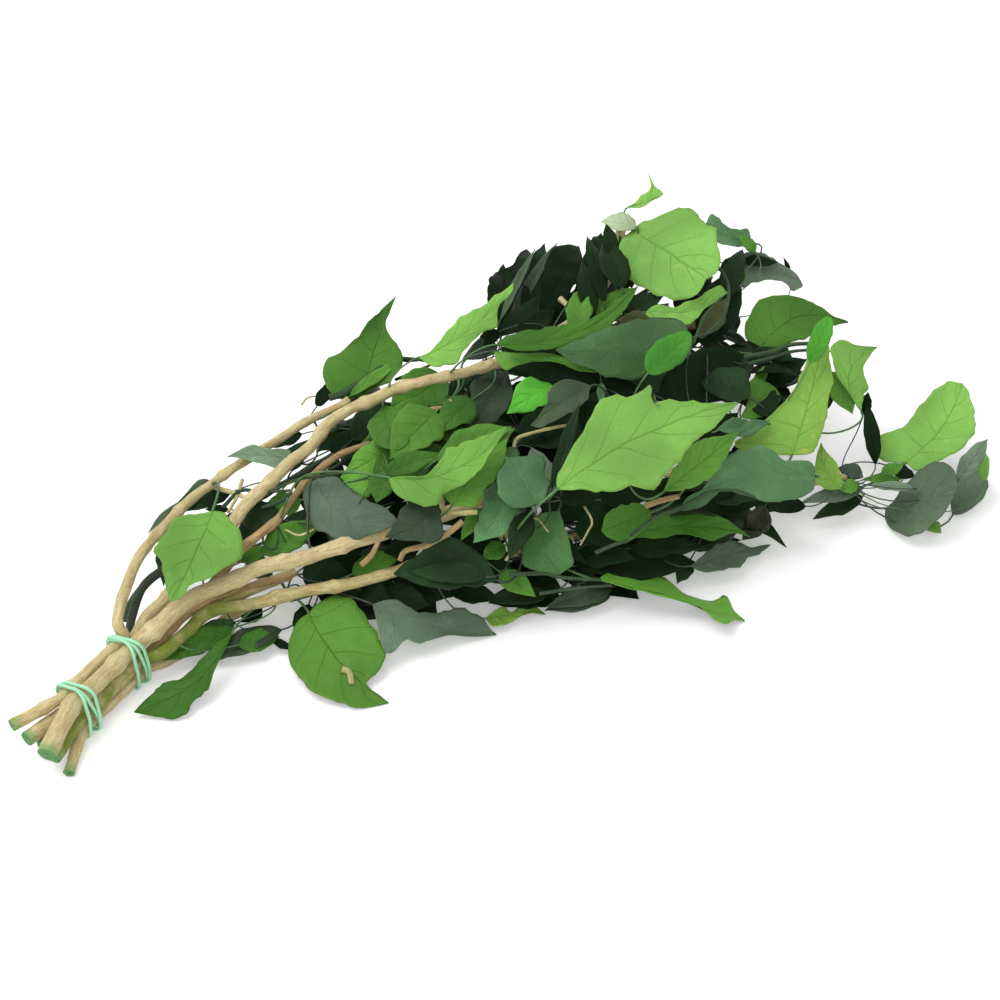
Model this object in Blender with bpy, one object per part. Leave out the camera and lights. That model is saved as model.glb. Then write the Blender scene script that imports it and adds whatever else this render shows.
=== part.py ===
"""Preserved ivy bunch: seven woody stems in two rubber ties, with the leaves that they carry.

The bunch lies along X with its cut ends at -X, on the surface Z = 0.
Lengths in the tables are millimetres and angles are degrees.
"""
import math
from dataclasses import dataclass

import bmesh
import bpy
from mathutils import Vector

MM = 0.001
ORIGIN = Vector((4.8, 10.2, 0.36))    # the point of the tables that becomes the origin
UP = Vector((0.0, 0.0, 1.0))

# Driving dimensions, in millimetres
SEAT_GAP = 0.3          # space left between pieces that touch
BLADE_THICKNESS = 0.6   # at the margin
RIB_THICKNESS = 1.0     # over the midrib
PETIOLE_RADIUS = 0.9
PETIOLE_FOOT_RADIUS = 1.3
STEM_SIDES = 8
STEM_STEP = 9.0         # length of one stretch of a stem's tube
BLADE_STATIONS = (0.03, 0.10, 0.22, 0.36, 0.50, 0.64, 0.78, 0.90, 1.0)
PETIOLE_STATIONS = 5
TIP_CURVE = 1.8         # how the margin rounds off towards the tip

# The tied bundle: the middle of each tie, and the direction from the first to the second
TIE_FOOT = (-230.0, 40.0)
TIE_HEADING = 19.5
TIE_SPACING = 37.0
TIE_MARGIN = 6.0        # how far past the middle of a tie the stems still run straight
STRAND_RADIUS = 0.65
STRAND_TURNS = 3
STRAND_FAN = 3.6        # half the width that the strands of a tie spread over
STRAND_LIFT = 0.9       # how far a strand rises where the turns pass over each other
STRAND_SIDES = 6
TURN_STEPS = 26
BUNDLE_LIFT = 3.8       # the ties pass under the bundle and hold it off the surface
TIE_COLOUR = (0.26, 0.70, 0.46)
ROUGHNESS = 0.6
FORK_SHARE = 0.7        # a side branch's radius where it leaves, as a share of the stem's
PETIOLE_PULL = 0.35     # how far a petiole holds its direction at each end, as a share of its length


@dataclass
class Stem:
    """A woody stem: across and high place it in the bundle, and the route leads on from the ties."""
    name: str
    radius: float
    end_radius: float
    cut: tuple          # along, across, high of the cut end, from the first tie
    seat: tuple         # across, high inside the ties
    route: tuple
    colour: tuple
    forks: tuple = ()


STEMS = (
    Stem("stem_arched", 3.1, 2.2, (-27, 13, 18), (5.4, 18.0),
         ((-190, 66, 29), (-174, 79, 37), (-155, 90, 42), (-128, 99, 46), (-100, 104, 49),
          (-72, 107, 52), (-48, 105, 56), (-20, 102, 60)),
         (0.42, 0.27, 0.12)),
    Stem("stem_rear", 3.8, 2.4, (-26, 6.5, 11.6), (2.7, 11.2),
         ((-175, 65, 21), (-160, 65, 28), (-138, 68, 37), (-115, 73, 46), (-92, 78, 54),
          (-65, 82, 60), (-38, 87, 66), (-14, 84, 70), (18, 75, 72), (50, 66, 70),
          (80, 66, 69), (112, 70, 71), (146, 81, 77), (168, 94, 86), (180, 106, 92)),
         (0.45, 0.30, 0.14),
         forks=(((112, 70, 71), (130, 58, 70), (150, 40, 68), (172, 22, 64)),)),
    Stem("stem_front", 4.6, 2.6, (-30, -8.8, 13.6), (-2.7, 18.1),
         ((-175, 52, 26), (-161, 53, 31), (-146, 50, 34), (-126, 45, 37), (-102, 34, 41),
          (-79, 23, 45), (-55, 12, 48), (-20, 3, 50), (15, -6, 50), (50, -14, 50),
          (85, -20, 50), (118, -30, 47), (150, -42, 43), (178, -52, 38)),
         (0.47, 0.33, 0.15),
         forks=(((50, -14, 50), (72, -34, 48), (96, -52, 44), (125, -66, 40)),)),
    Stem("stem_mossy", 3.8, 2.4, (-25, -7, 5), (-5.2, 9.6),
         ((-180, 45, 15), (-163, 48, 17), (-149, 50, 20), (-135, 41, 22), (-112, 30, 25),
          (-90, 17, 27), (-70, 8, 29), (-45, 2, 31), (-20, -6, 32), (10, -16, 32)),
         (0.20, 0.22, 0.06),
         forks=(((-149, 50, 20), (-140, 49, 21), (-122, 47, 22), (-100, 43, 24)),)),
    Stem("stem_kinked", 2.9, 1.8, (-25, 2.5, 5.2), (0.0, 4.6),
         ((-178, 53, 13), (-160, 58, 18), (-142, 60, 26), (-124, 60, 36), (-110, 58, 43),
          (-98, 60, 44), (-86, 66, 46), (-70, 72, 50), (-50, 73, 54), (-31, 68, 57)),
         (0.40, 0.24, 0.10)),
    Stem("stem_low", 2.7, 2.0, (-28, -16, -0.5), (-6.2, 2.7),
         ((-175, 49, 4), (-150, 52, 5), (-120, 50, 8), (-85, 36, 10), (-50, 16, 12),
          (-15, -6, 16), (20, -22, 20), (60, -40, 24), (100, -56, 26), (140, -72, 26),
          (172, -86, 24)),
         (0.45, 0.32, 0.15)),
    Stem("stem_dark", 2.3, 1.6, (-20, 8, 4), (5.6, 5.3),
         ((-179, 75, 14), (-166, 85, 20), (-151, 87, 26), (-128, 87, 29), (-100, 92, 33),
          (-70, 96, 32), (-36, 98, 32), (0, 96, 34), (40, 96, 36), (80, 98, 36)),
         (0.08, 0.10, 0.06)),
)


@dataclass
class Leaf:
    """One leaf: its blade runs from base to tip, and its petiole joins it to the named stem."""
    name: str
    stem: str
    base: tuple
    tip: tuple
    width: float
    roll: float = 0.0     # lifts the right-hand edge
    fold: float = 8.0     # how far each half leans up from flat
    arch: float = 0.06    # rise of the midrib's middle, as a share of the length
    sway: float = 0.0     # sideways bow of the midrib, as a share of the length
    twist: float = 0.0    # turn of the blade from base to tip
    belly: float = 0.4    # where the blade is widest
    shoulder: float = 0.7  # low for a round base, high for a wedge-shaped one
    point: float = 1.1    # low for a blunt tip, high for a drawn-out one
    skew: float = 0.0     # positive where the right half is wider than the left
    reach: float = 24.0   # how far behind the blade its petiole looks for the stem
    colour: tuple = (0.10, 0.30, 0.05)


PALE = (0.27, 0.52, 0.13)
FRESH = (0.10, 0.33, 0.05)
DARK = (0.02, 0.07, 0.03)
TEAL = (0.07, 0.20, 0.10)

LEAVES = (
    # The crown, at the far and upper side
    Leaf("leaf_01", "stem_rear", (172, 88, 96), (173, 29, 92), 50, -32, belly=0.5, shoulder=0.5, point=0.6,
         skew=-0.15, colour=PALE),
    Leaf("leaf_02", "stem_rear", (184, 105, 98), (202, 108, 112), 12, -20, fold=35, reach=4, colour=PALE),
    Leaf("leaf_03", "stem_rear", (243, 60, 72), (222, 79, 84), 24, 30, colour=TEAL),
    Leaf("leaf_04", "stem_rear", (234, 58, 58), (268, 39, 42), 20, -40, fold=30, colour=TEAL),
    Leaf("leaf_05", "stem_rear", (87, 103, 56), (150, 154, 60), 34, -20, belly=0.35, colour=DARK),
    Leaf("leaf_06", "stem_rear", (84, 74, 71), (158, 117, 77), 28, -20, belly=0.35, reach=10, colour=DARK),
    Leaf("leaf_07", "stem_rear", (107, 69, 85), (167, 109, 86), 24, -25, belly=0.35, colour=DARK),
    Leaf("leaf_08", "stem_rear", (138, 40, 80), (184, 23, 82), 18, -40, skew=0.3, colour=PALE),
    Leaf("leaf_09", "stem_rear", (136, 2, 84), (69, 37, 88), 38, 38, belly=0.45, skew=-0.2, colour=DARK),
    # The ridge in the middle
    Leaf("leaf_10", "stem_low", (-3, -47, 84), (98, -69, 100), 50, -38, belly=0.42, shoulder=0.85,
         point=1.1, skew=-0.2, colour=PALE),
    Leaf("leaf_11", "stem_front", (47, -70, 70), (106, -64, 74), 28, -30, colour=FRESH),
    Leaf("leaf_12", "stem_front", (132, -96, 52), (72, -73, 60), 28, 35, belly=0.5, shoulder=0.6,
         point=0.9, skew=0.25, colour=TEAL),
    Leaf("leaf_13", "stem_rear", (16, 87, 80), (95, 102, 86), 20, -35, skew=0.6, colour=PALE),
    Leaf("leaf_14", "stem_arched", (-9, 105, 56), (42, 140, 80), 42, -15, belly=0.3, shoulder=0.5,
         point=1.6, skew=-0.1, colour=FRESH),
    Leaf("leaf_15", "stem_rear", (47, 58, 90), (133, 42, 98), 22, -35, fold=20, belly=0.6, shoulder=0.7,
         point=1.0, skew=0.4, colour=FRESH),
    Leaf("leaf_16", "stem_rear", (52, 67, 78), (84, 20, 76), 20, -30, colour=PALE),
    Leaf("leaf_17", "stem_rear", (74, 38, 66), (34, 35, 64), 24, 25, colour=FRESH),
    Leaf("leaf_18", "stem_rear", (65, 71, 56), (7, 38, 59), 30, 15, colour=DARK),
    Leaf("leaf_19", "stem_front", (68, 7, 82), (22, 2, 82), 26, 25, fold=20, reach=12, colour=DARK),
    Leaf("leaf_20", "stem_front", (143, -70, 44), (196, -39, 88), 44, -8, belly=0.22, shoulder=0.5,
         point=1.5, skew=-0.3, colour=PALE),
    Leaf("leaf_21", "stem_rear", (186, -4, 58), (236, -23, 63), 32, -35, belly=0.32, shoulder=0.5,
         point=1.1, skew=-0.2, reach=30, colour=FRESH),
    Leaf("leaf_22", "stem_front", (204, -65, 40), (227, -52, 66), 30, -10, belly=0.5, shoulder=0.8,
         point=1.0, skew=-0.7, colour=PALE),
    # The cluster over the forks of the stems
    Leaf("leaf_23", "stem_kinked", (-59, 15, 82), (7, 3, 88), 34, -30, belly=0.36, shoulder=0.7, skew=0.4,
         colour=PALE),
    Leaf("leaf_24", "stem_front", (-37, -7, 66), (21, 13, 74), 28, -20, reach=20, colour=FRESH),
    Leaf("leaf_25", "stem_kinked", (38, 74, 54), (-1, 41, 58), 30, 10, colour=FRESH),
    Leaf("leaf_26", "stem_kinked", (-23, 57, 58), (-59, 57, 56), 24, 30, colour=PALE),
    Leaf("leaf_27", "stem_rear", (-10, 85, 62), (-33, 44, 68), 26, -10, colour=PALE),
    Leaf("leaf_28", "stem_front", (-70, 62, 58), (-59, 7, 58), 34, -25, belly=0.42, shoulder=0.5,
         point=1.2, skew=0.3, colour=TEAL),
    Leaf("leaf_29", "stem_front", (-41, 1, 68), (-76, -3, 64), 20, 30, colour=TEAL),
    Leaf("leaf_30", "stem_front", (-6, -34, 66), (1, -5, 76), 30, -15, belly=0.5, shoulder=0.5, point=0.7,
         colour=TEAL),
    Leaf("leaf_31", "stem_front", (1, 2, 58), (-35, -21, 50), 28, 15, colour=TEAL),
    # Leaves of the lower stems, and those that rest on the surface
    Leaf("leaf_32", "stem_arched", (-126, 73, 60), (-171, 45, 44), 40, 20, belly=0.42, shoulder=0.5,
         point=1.3, skew=-0.1, colour=PALE),
    Leaf("leaf_33", "stem_arched", (-103, 110, 42), (-147, 106, 34), 14, 60, colour=TEAL),
    Leaf("leaf_34", "stem_arched", (-64, 85, 50), (-95, 107, 57), 20, 40, colour=TEAL),
    Leaf("leaf_35", "stem_mossy", (-108, 21, 16), (-107, -43, 1), 46, -12, sway=0.06, belly=0.4,
         shoulder=0.5, point=0.9, skew=0.15, colour=FRESH),
    Leaf("leaf_36", "stem_low", (-146, 33, 16), (-206, 32, 1), 24, 20, belly=0.5, shoulder=0.8, point=1.0,
         skew=-0.6, colour=FRESH),
    Leaf("leaf_37", "stem_low", (-122, 26, 9), (-165, 38, 3), 14, 10, colour=DARK),
    Leaf("leaf_38", "stem_low", (-82, 2, 20), (-36, -40, 1), 28, -25, colour=TEAL),
    Leaf("leaf_39", "stem_low", (-36, -31, 6), (-7, -45, 1), 16, -10, colour=FRESH),
    Leaf("leaf_40", "stem_low", (15, -59, 22), (68, -114, 1), 28, 20, colour=FRESH),
    Leaf("leaf_41", "stem_mossy", (-31, -35, 32), (-70, -1, 36), 28, 25, colour=DARK),
    Leaf("leaf_42", "stem_front", (49, -61, 50), (23, -52, 46), 22, 30, colour=FRESH),
    Leaf("leaf_43", "stem_low", (41, -53, 32), (97, -87, 24), 26, -30, colour=DARK),
    Leaf("leaf_44", "stem_front", (17, -26, 46), (0, -47, 26), 34, -5, colour=DARK),
    Leaf("leaf_45", "stem_low", (64, -77, 16), (120, -82, 2), 26, -30, colour=DARK),
    Leaf("leaf_46", "stem_low", (216, -91, 14), (269, -82, 38), 46, -20, belly=0.5, shoulder=0.65,
         point=0.8, skew=0.2, colour=PALE),
    Leaf("leaf_47", "stem_low", (186, -104, 6), (206, -133, 29), 30, -20, belly=0.45, skew=0.4, reach=44,
         colour=TEAL),
    Leaf("leaf_48", "stem_low", (160, -92, 26), (165, -71, 42), 20, 10, belly=0.4, reach=10, colour=TEAL),
    Leaf("leaf_49", "stem_front", (136, -38, 54), (171, -33, 50), 28, -25, colour=DARK),
    Leaf("leaf_50", "stem_front", (111, 1, 54), (180, -4, 50), 34, -35, reach=10, colour=DARK),
    Leaf("leaf_51", "stem_dark", (110, 104, 20), (156, 128, 1), 36, 0, colour=DARK),
)


def bundle_point(along, across, high):
    """A point of the tied bundle, in millimetres, counted from the foot of the first tie."""
    heading = math.radians(TIE_HEADING)
    x = TIE_FOOT[0] + along * math.cos(heading) - across * math.sin(heading)
    y = TIE_FOOT[1] + along * math.sin(heading) + across * math.cos(heading)
    return Vector((x, y, high + BUNDLE_LIFT))


def smooth_path(points, step):
    """Points about one step apart on a Catmull-Rom curve through the given points."""
    points = [Vector(p) for p in points]
    ends = [2 * points[0] - points[1]] + points + [2 * points[-1] - points[-2]]
    path = []
    for a, b, c, d in zip(ends, ends[1:], ends[2:], ends[3:]):
        pieces = max(1, round((c - b).length / step))
        for i in range(pieces):
            t = i / pieces
            path.append(0.5 * (2 * b + (c - a) * t + (2 * a - 5 * b + 4 * c - d) * t * t
                               + (3 * b - a - 3 * c + d) * t * t * t))
    return path + [points[-1]]


def tangents(path, closed=False):
    """The direction of the path at each of its points."""
    last = len(path) - 1
    found = []
    for i in range(len(path)):
        before = path[i - 1] if closed or i else path[0]
        after = path[(i + 1) % len(path)] if closed or i < last else path[last]
        found.append((after - before).normalized())
    return found


def carried_frames(directions, side):
    """Side and top vectors that follow the directions without spinning about them."""
    frames = []
    for direction in directions:
        side = (side - direction * side.dot(direction)).normalized()
        frames.append((side, side.cross(direction)))
    return frames


def solid_from_rings(name, rings, colour, closed=False):
    """A closed solid through rings of points in millimetres; its ends are capped unless they meet."""
    mesh_maker = bmesh.new()
    loops = [[mesh_maker.verts.new((point - ORIGIN) * MM) for point in ring] for ring in rings]
    pairs = list(zip(loops, loops[1:]))
    if closed:
        pairs.append((loops[-1], loops[0]))
    for ring, following in pairs:
        for i in range(len(ring)):
            j = (i + 1) % len(ring)
            mesh_maker.faces.new((ring[i], ring[j], following[j], following[i]))
    if not closed:
        mesh_maker.faces.new(reversed(loops[0]))
        mesh_maker.faces.new(loops[-1])
    bmesh.ops.recalc_face_normals(mesh_maker, faces=mesh_maker.faces)
    mesh = bpy.data.meshes.new(name)
    mesh_maker.to_mesh(mesh)
    mesh_maker.free()
    mesh.shade_smooth()
    mesh.materials.append(finish(name, colour))
    piece = bpy.data.objects.new(name, mesh)
    bpy.context.scene.collection.objects.link(piece)
    return piece


def finish(name, colour):
    """A plain material of one colour."""
    material = bpy.data.materials.new(name)
    material.use_nodes = True
    shader = material.node_tree.nodes["Principled BSDF"]
    shader.inputs["Base Color"].default_value = (*colour, 1.0)
    shader.inputs["Roughness"].default_value = ROUGHNESS
    return material


def round_ring(centre, side, top, radius, sides):
    """A ring of points about a centre."""
    turn = 2 * math.pi / sides
    return [centre + radius * (side * math.cos(turn * i) + top * math.sin(turn * i))
            for i in range(sides)]


def stem_course(stem):
    """The stem's centre line from its cut end: points with the radius and the direction at each."""
    bound = (-TIE_MARGIN, 0, TIE_SPACING / 2, TIE_SPACING, TIE_SPACING + TIE_MARGIN)
    ties = [bundle_point(*stem.cut)] + [bundle_point(along, *stem.seat) for along in bound]
    path = smooth_path(ties + [Vector(p) for p in stem.route], STEM_STEP)
    return with_radii(path, stem.radius, stem.end_radius)


def with_radii(path, radius, end_radius):
    """The path's points and directions, with a radius that tapers evenly along it."""
    steps = [0.0]
    for a, b in zip(path, path[1:]):
        steps.append(steps[-1] + (b - a).length)
    return [(point, radius + (end_radius - radius) * walked / steps[-1], direction)
            for point, walked, direction in zip(path, steps, tangents(path))]


def tube(name, course, colour):
    """A round branch along its course."""
    frames = carried_frames([direction for point, radius, direction in course], UP)
    rings = [round_ring(point, *frame, radius, STEM_SIDES)
             for (point, radius, direction), frame in zip(course, frames)]
    return solid_from_rings(name, rings, colour)


def fork_course(stem, route):
    """A side branch, thinner than the stem where it leaves it."""
    start = Vector(route[0])
    here = min(stem_course(stem), key=lambda point: (point[0] - start).length)
    path = smooth_path(route, STEM_STEP)
    return with_radii(path, here[1] * FORK_SHARE, stem.end_radius)


def make_stem(stem):
    """One woody stem with its side branches grown into it."""
    trunk = tube(stem.name, stem_course(stem), stem.colour)
    for number, route in enumerate(stem.forks, 1):
        branch = tube(f"{stem.name}_branch_{number}", fork_course(stem, route), stem.colour)
        branch.hide_render = True
        branch.display_type = "WIRE"
        union = trunk.modifiers.new(branch.name, "BOOLEAN")
        union.operation = "UNION"
        union.solver = "EXACT"
        union.object = branch


def blade_frame(leaf):
    """The direction from the blade's base to its tip, its right-hand side and its upper side."""
    forward = (Vector(leaf.tip) - Vector(leaf.base)).normalized()
    side = forward.cross(UP).normalized()
    top = side.cross(forward)
    roll = math.radians(leaf.roll)
    return (forward, side * math.cos(roll) + top * math.sin(roll),
            top * math.cos(roll) - side * math.sin(roll))


def blade_half_width(leaf, s):
    """Half the blade's width at the share s of its length."""
    if s < leaf.belly:
        return leaf.width / 2 * (1 - (1 - s / leaf.belly) ** 2) ** leaf.shoulder
    return leaf.width / 2 * (1 - ((s - leaf.belly) / (1 - leaf.belly)) ** TIP_CURVE) ** leaf.point


def midrib(leaf, s):
    """A point of the midrib, which bows up and to one side."""
    forward, side, top = blade_frame(leaf)
    base, tip = Vector(leaf.base), Vector(leaf.tip)
    bow = 4 * s * (1 - s) * (tip - base).length
    return base.lerp(tip, s) + top * leaf.arch * bow + side * leaf.sway * bow


def blade_ring(leaf, s):
    """The six corners of the blade's section: left margin, midrib and right margin, over and under."""
    forward, side, top = blade_frame(leaf)
    turn = math.radians(leaf.twist) * (s - 0.5)
    across = side * math.cos(turn) + top * math.sin(turn)
    above = top * math.cos(turn) - side * math.sin(turn)
    half = max(blade_half_width(leaf, s), PETIOLE_RADIUS)
    lean = math.radians(leaf.fold)
    middle = midrib(leaf, s)
    out, lift = half * math.cos(lean), half * math.sin(lean)
    left = middle - across * out * (1 - leaf.skew) + above * lift
    right = middle + across * out * (1 + leaf.skew) + above * lift
    margin, rib = above * BLADE_THICKNESS / 2, above * RIB_THICKNESS / 2
    return [left + margin, middle + rib, right + margin, right - margin, middle - rib, left - margin]


def petiole_rings(leaf, course):
    """Six-sided sections from the stem's surface to the blade's base."""
    base = Vector(leaf.base)
    forward, side, top = blade_frame(leaf)
    behind = base - forward * leaf.reach
    centre, radius, direction = min(course, key=lambda place: (place[0] - behind).length)
    outward = behind - centre
    outward = (outward - direction * direction.dot(outward)).normalized()
    foot = centre + outward * (radius + SEAT_GAP)
    pull = (base - foot).length * PETIOLE_PULL
    bends = [foot, foot + outward * pull, base - (midrib(leaf, 0.1) - base).normalized() * pull, base]
    path = [bezier(bends, i / PETIOLE_STATIONS) for i in range(PETIOLE_STATIONS + 1)]
    directions = [outward] + tangents(path)[1:]
    frames = carried_frames(list(reversed(directions)), side)
    rings = []
    for i, (point, (across, above)) in enumerate(zip(path, reversed(frames))):
        thick = PETIOLE_FOOT_RADIUS + (PETIOLE_RADIUS - PETIOLE_FOOT_RADIUS) * i / PETIOLE_STATIONS
        rings.append(hexagon(point, across, above, thick))
    return rings[:-1]


def bezier(bends, t):
    """A point of the cubic curve with the four given control points."""
    a, b, c, d = bends
    u = 1 - t
    return u * u * u * a + 3 * u * u * t * b + 3 * u * t * t * c + t * t * t * d


def hexagon(centre, across, above, radius):
    """A petiole's section, its corners in the order of the blade's."""
    corners = (150, 90, 30, -30, -90, -150)
    return [centre + radius * (across * math.cos(math.radians(a)) + above * math.sin(math.radians(a)))
            for a in corners]


def make_leaf(leaf, courses):
    """One leaf: petiole and blade in one piece."""
    rings = petiole_rings(leaf, courses[leaf.stem])
    rings += [blade_ring(leaf, s) for s in BLADE_STATIONS]
    solid_from_rings(leaf.name, rings, leaf.colour)


def bundle_hull():
    """The taut line about the stems at a tie: points with the direction that is outward at each."""
    seats = [(*stem.seat, stem.radius) for stem in STEMS]
    hull = []
    for degree in range(0, 360, 3):
        out = (math.cos(math.radians(degree)), math.sin(math.radians(degree)))
        across, high, radius = max(seats, key=lambda seat: seat[0] * out[0] + seat[1] * out[1] + seat[2])
        hull.append((across + radius * out[0], high + radius * out[1], out))
    return hull


def make_tie(name, along):
    """A rubber band wound three times about the bundle, its turns side by side."""
    hull = even_hull(bundle_hull(), TURN_STEPS)
    path = []
    steps = STRAND_TURNS * TURN_STEPS
    for i in range(steps):
        across, high, out = hull[i % TURN_STEPS]
        phase = 2 * math.pi * i / steps
        offset = SEAT_GAP + STRAND_RADIUS + STRAND_LIFT * (1 + math.sin(phase))
        shift = STRAND_FAN * math.cos(phase)
        path.append(bundle_point(along + shift, across + offset * out[0], high + offset * out[1]))
    directions = tangents(path, closed=True)
    heading = math.radians(TIE_HEADING)
    axis = Vector((math.cos(heading), math.sin(heading), 0.0))
    rings = []
    for point, direction in zip(path, directions):
        side = (axis - direction * axis.dot(direction)).normalized()
        rings.append(round_ring(point, side, side.cross(direction), STRAND_RADIUS, STRAND_SIDES))
    solid_from_rings(name, rings, TIE_COLOUR, closed=True)


def even_hull(hull, count):
    """The hull's line again, in evenly spaced points."""
    closed = hull + hull[:1]
    lengths = [math.dist(a[:2], b[:2]) for a, b in zip(closed, closed[1:])]
    spacing = sum(lengths) / count
    found = []
    walked = 0.0
    for a, b, length in zip(closed, closed[1:], lengths):
        while len(found) < count and len(found) * spacing < walked + length:
            t = (len(found) * spacing - walked) / length
            out = (a[2][0] + (b[2][0] - a[2][0]) * t, a[2][1] + (b[2][1] - a[2][1]) * t)
            found.append((a[0] + (b[0] - a[0]) * t, a[1] + (b[1] - a[1]) * t, out))
        walked += length
    return found


def clear_scene():
    """Empty the scene before the model is made."""
    for item in list(bpy.data.objects):
        bpy.data.objects.remove(item, do_unlink=True)


def main():
    clear_scene()
    for stem in STEMS:
        make_stem(stem)
    make_tie("rubber_tie_end", 0)
    make_tie("rubber_tie_neck", TIE_SPACING)
    courses = {stem.name: stem_course(stem) for stem in STEMS}
    for stem in STEMS:
        for route in stem.forks:
            courses[stem.name] += fork_course(stem, route)
    for leaf in LEAVES:
        make_leaf(leaf, courses)


main()
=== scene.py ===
"""Looks of the preserved ivy bunch: barked stems, veined leaves on stalks, rubber ties and a plain studio.

Lengths in the tables are millimetres and angles are degrees, in the coordinates of the CAD model's tables.
"""
import math
import random
from dataclasses import dataclass

import bpy
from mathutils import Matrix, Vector, noise


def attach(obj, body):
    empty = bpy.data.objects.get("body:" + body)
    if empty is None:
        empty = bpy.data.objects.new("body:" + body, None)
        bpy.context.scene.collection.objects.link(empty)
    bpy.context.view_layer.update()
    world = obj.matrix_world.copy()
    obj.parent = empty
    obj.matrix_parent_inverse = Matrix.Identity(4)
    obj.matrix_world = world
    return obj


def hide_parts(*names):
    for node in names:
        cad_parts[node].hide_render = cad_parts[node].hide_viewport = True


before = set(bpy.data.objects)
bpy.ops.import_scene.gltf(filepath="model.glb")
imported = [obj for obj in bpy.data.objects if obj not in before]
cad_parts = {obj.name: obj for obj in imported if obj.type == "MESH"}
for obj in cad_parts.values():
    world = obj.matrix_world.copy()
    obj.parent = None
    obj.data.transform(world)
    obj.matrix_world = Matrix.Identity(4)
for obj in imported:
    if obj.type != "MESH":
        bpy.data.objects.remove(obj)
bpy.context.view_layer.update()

MM = 0.001
ORIGIN = Vector((4.8, 10.2, 0.36))   # the point of the tables that lies at the frame's origin
UP = Vector((0.0, 0.0, 1.0))
BODY = "root"

# The tied bundle, as in the CAD model
TIE_FOOT = (-230.0, 40.0)
TIE_HEADING = 19.5
TIE_SPACING = 37.0
TIE_MARGIN = 6.0
BUNDLE_LIFT = 3.8
SEAT_GAP = 0.3
STRAND_RADIUS = 0.65
STRAND_WIDTH = 2.0
STRAND_TURNS = 3
STRAND_FAN = 2.8
STRAND_LIFT = 0.7
STRAND_GATHER = (0.83, 0.55)   # across and high: the side of the bundle where the strands run together
GATHERED_SHARE = 0.75
STRAND_WANDER = 0.4
STRAND_STEP = 1.1       # length of one step of a strand's grain

# The bark
STEM_WOBBLE = 1.6
WOBBLE_PACE = 0.045     # crooks of the wood per millimetre
STRAIGHT_PART = 85.0    # how far a stem runs before it wobbles
WOBBLE_START = 40.0     # the stretch on which the wobble sets in
DYE_REACH = 4.0         # how far the dye has crept up from a cut end
FORK_SHARE = 0.7        # a side branch's radius as a share of its stem's
TWIG_LUMPS = 0.3        # height of the lumps of a twig, as a share of its radius
FIRST_SCAR = (12, 30)   # the ranges of the first leaf scar's place, of the gaps and of the swellings
SCAR_GAP = (16, 40)
SCAR_HEIGHT = (0.10, 0.32)
SCAR_WIDTH = 2.8        # half the length of the swelling at a leaf scar
SCAR_SHIFT = 1.2        # the groove behind a scar: how far behind, how long and how deep
SCAR_GROOVE = 0.8
SCAR_DEPTH = 0.07
CUT_FACE = ((0.9, -0.15), (0.55, 0.4), (0.22, 0.7), (0.12, 1.6))   # rings of a cut end: share, depth

# Fineness of the meshes
BARK_STEP = 2.0         # length of one stretch of bark
BARK_SIDES = 22
FINE_BLADE = (36, 8)    # stations along a blade, and columns on each side of its midrib
SIMPLE_BLADE = (22, 4)
WIDE_BLADE = 20.0       # a blade wider than this is a fine one
MARGIN_STEP = 0.7
PETIOLE_STATIONS = 12
STALK_SIDES = 7
STALK_STEP = 3.0
SHOOT_STEP = 4.0
STRAND_SIDES = 10
TURN_STEPS = 72

# The leaf
TABLE = 0.4             # nothing reaches lower
BLADE_REST = 1.0        # height of a blade that lies on the table
BLADE_THICKNESS = 0.35
TIP_CURVE = 1.8
VEIN_PAIRS = 5.0
VEIN_SHIFT = 0.35       # how far the right half's side veins lag behind the left's, in vein spacings
VEIN_SLANT = 1.35       # how far a side vein runs towards the tip on its way out, in vein spacings
VEIN_CURVE = 0.85
QUILTING = 0.35         # height of the blade between two side veins
RIPPLES = 3.2           # how fast the waves along a margin follow one another
CRUMPLE = 1.2           # height of the dents all over a blade
RAGGEDNESS = 1.7        # height of the notches in a drawn margin
RAGGED_PACE = 0.15      # notches per millimetre
LEAST_HALF_WIDTH = 0.25
STALK_RADIUS = 0.65     # of the widest leaves
PETIOLE_PULL = 0.35
RIB_SHARE = 0.35        # the midrib's thickness where the petiole becomes it
RIB_REACH = 0.75        # the share of the blade that the raised midrib runs along
RIB_HEIGHT = 0.12
SHADED_BASE = 0.74      # brightness of a small leaf at its base, and what its tip has more
TIP_GAIN = 0.4
PAINTED_SHADE_TINT = (0.78, 1.0, 0.6)   # what a leaf dimmed by painted shade keeps of its red, green and blue
FIRST_SMALL_LEAF = 52   # the small leaves are numbered from here

# The shoots; a pair is the range that each leaf's own value is drawn from
SHOOT_RADIUS = 1.3
SHOOT_TAPER = 0.6       # a shoot's radius at its tip, as a share of that at its foot
LOWEST_TIP = 4.0        # no leaf of a shoot droops lower
SHOOT_LEAF_SIZE = (0.7, 1.2)
SHOOT_LEAF_WIDTH = (0.5, 0.68)   # as a share of its length
SHOOT_LEAF_TURN = (18, 62)       # away from the shoot's own direction
SHOOT_LEAF_SLOPE = (-0.25, 0.3)
SHOOT_LEAF_STALK = (5, 11)
SHOOT_LEAF_LIFT = (-2, 4)
SHOOT_LEAF_ROLL = (-24, 24)
SHOOT_LEAF_SHAPE = {"fold": (0, 14), "sway": (-0.06, 0.06), "arch": (0.02, 0.1), "belly": (0.3, 0.45),
                    "skew": (-0.1, 0.1), "light": (0.7, 1.5)}
SHOOT_LEAF_WAVE = 1.8
SHOOT_LEAF_REACH = 8

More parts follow.
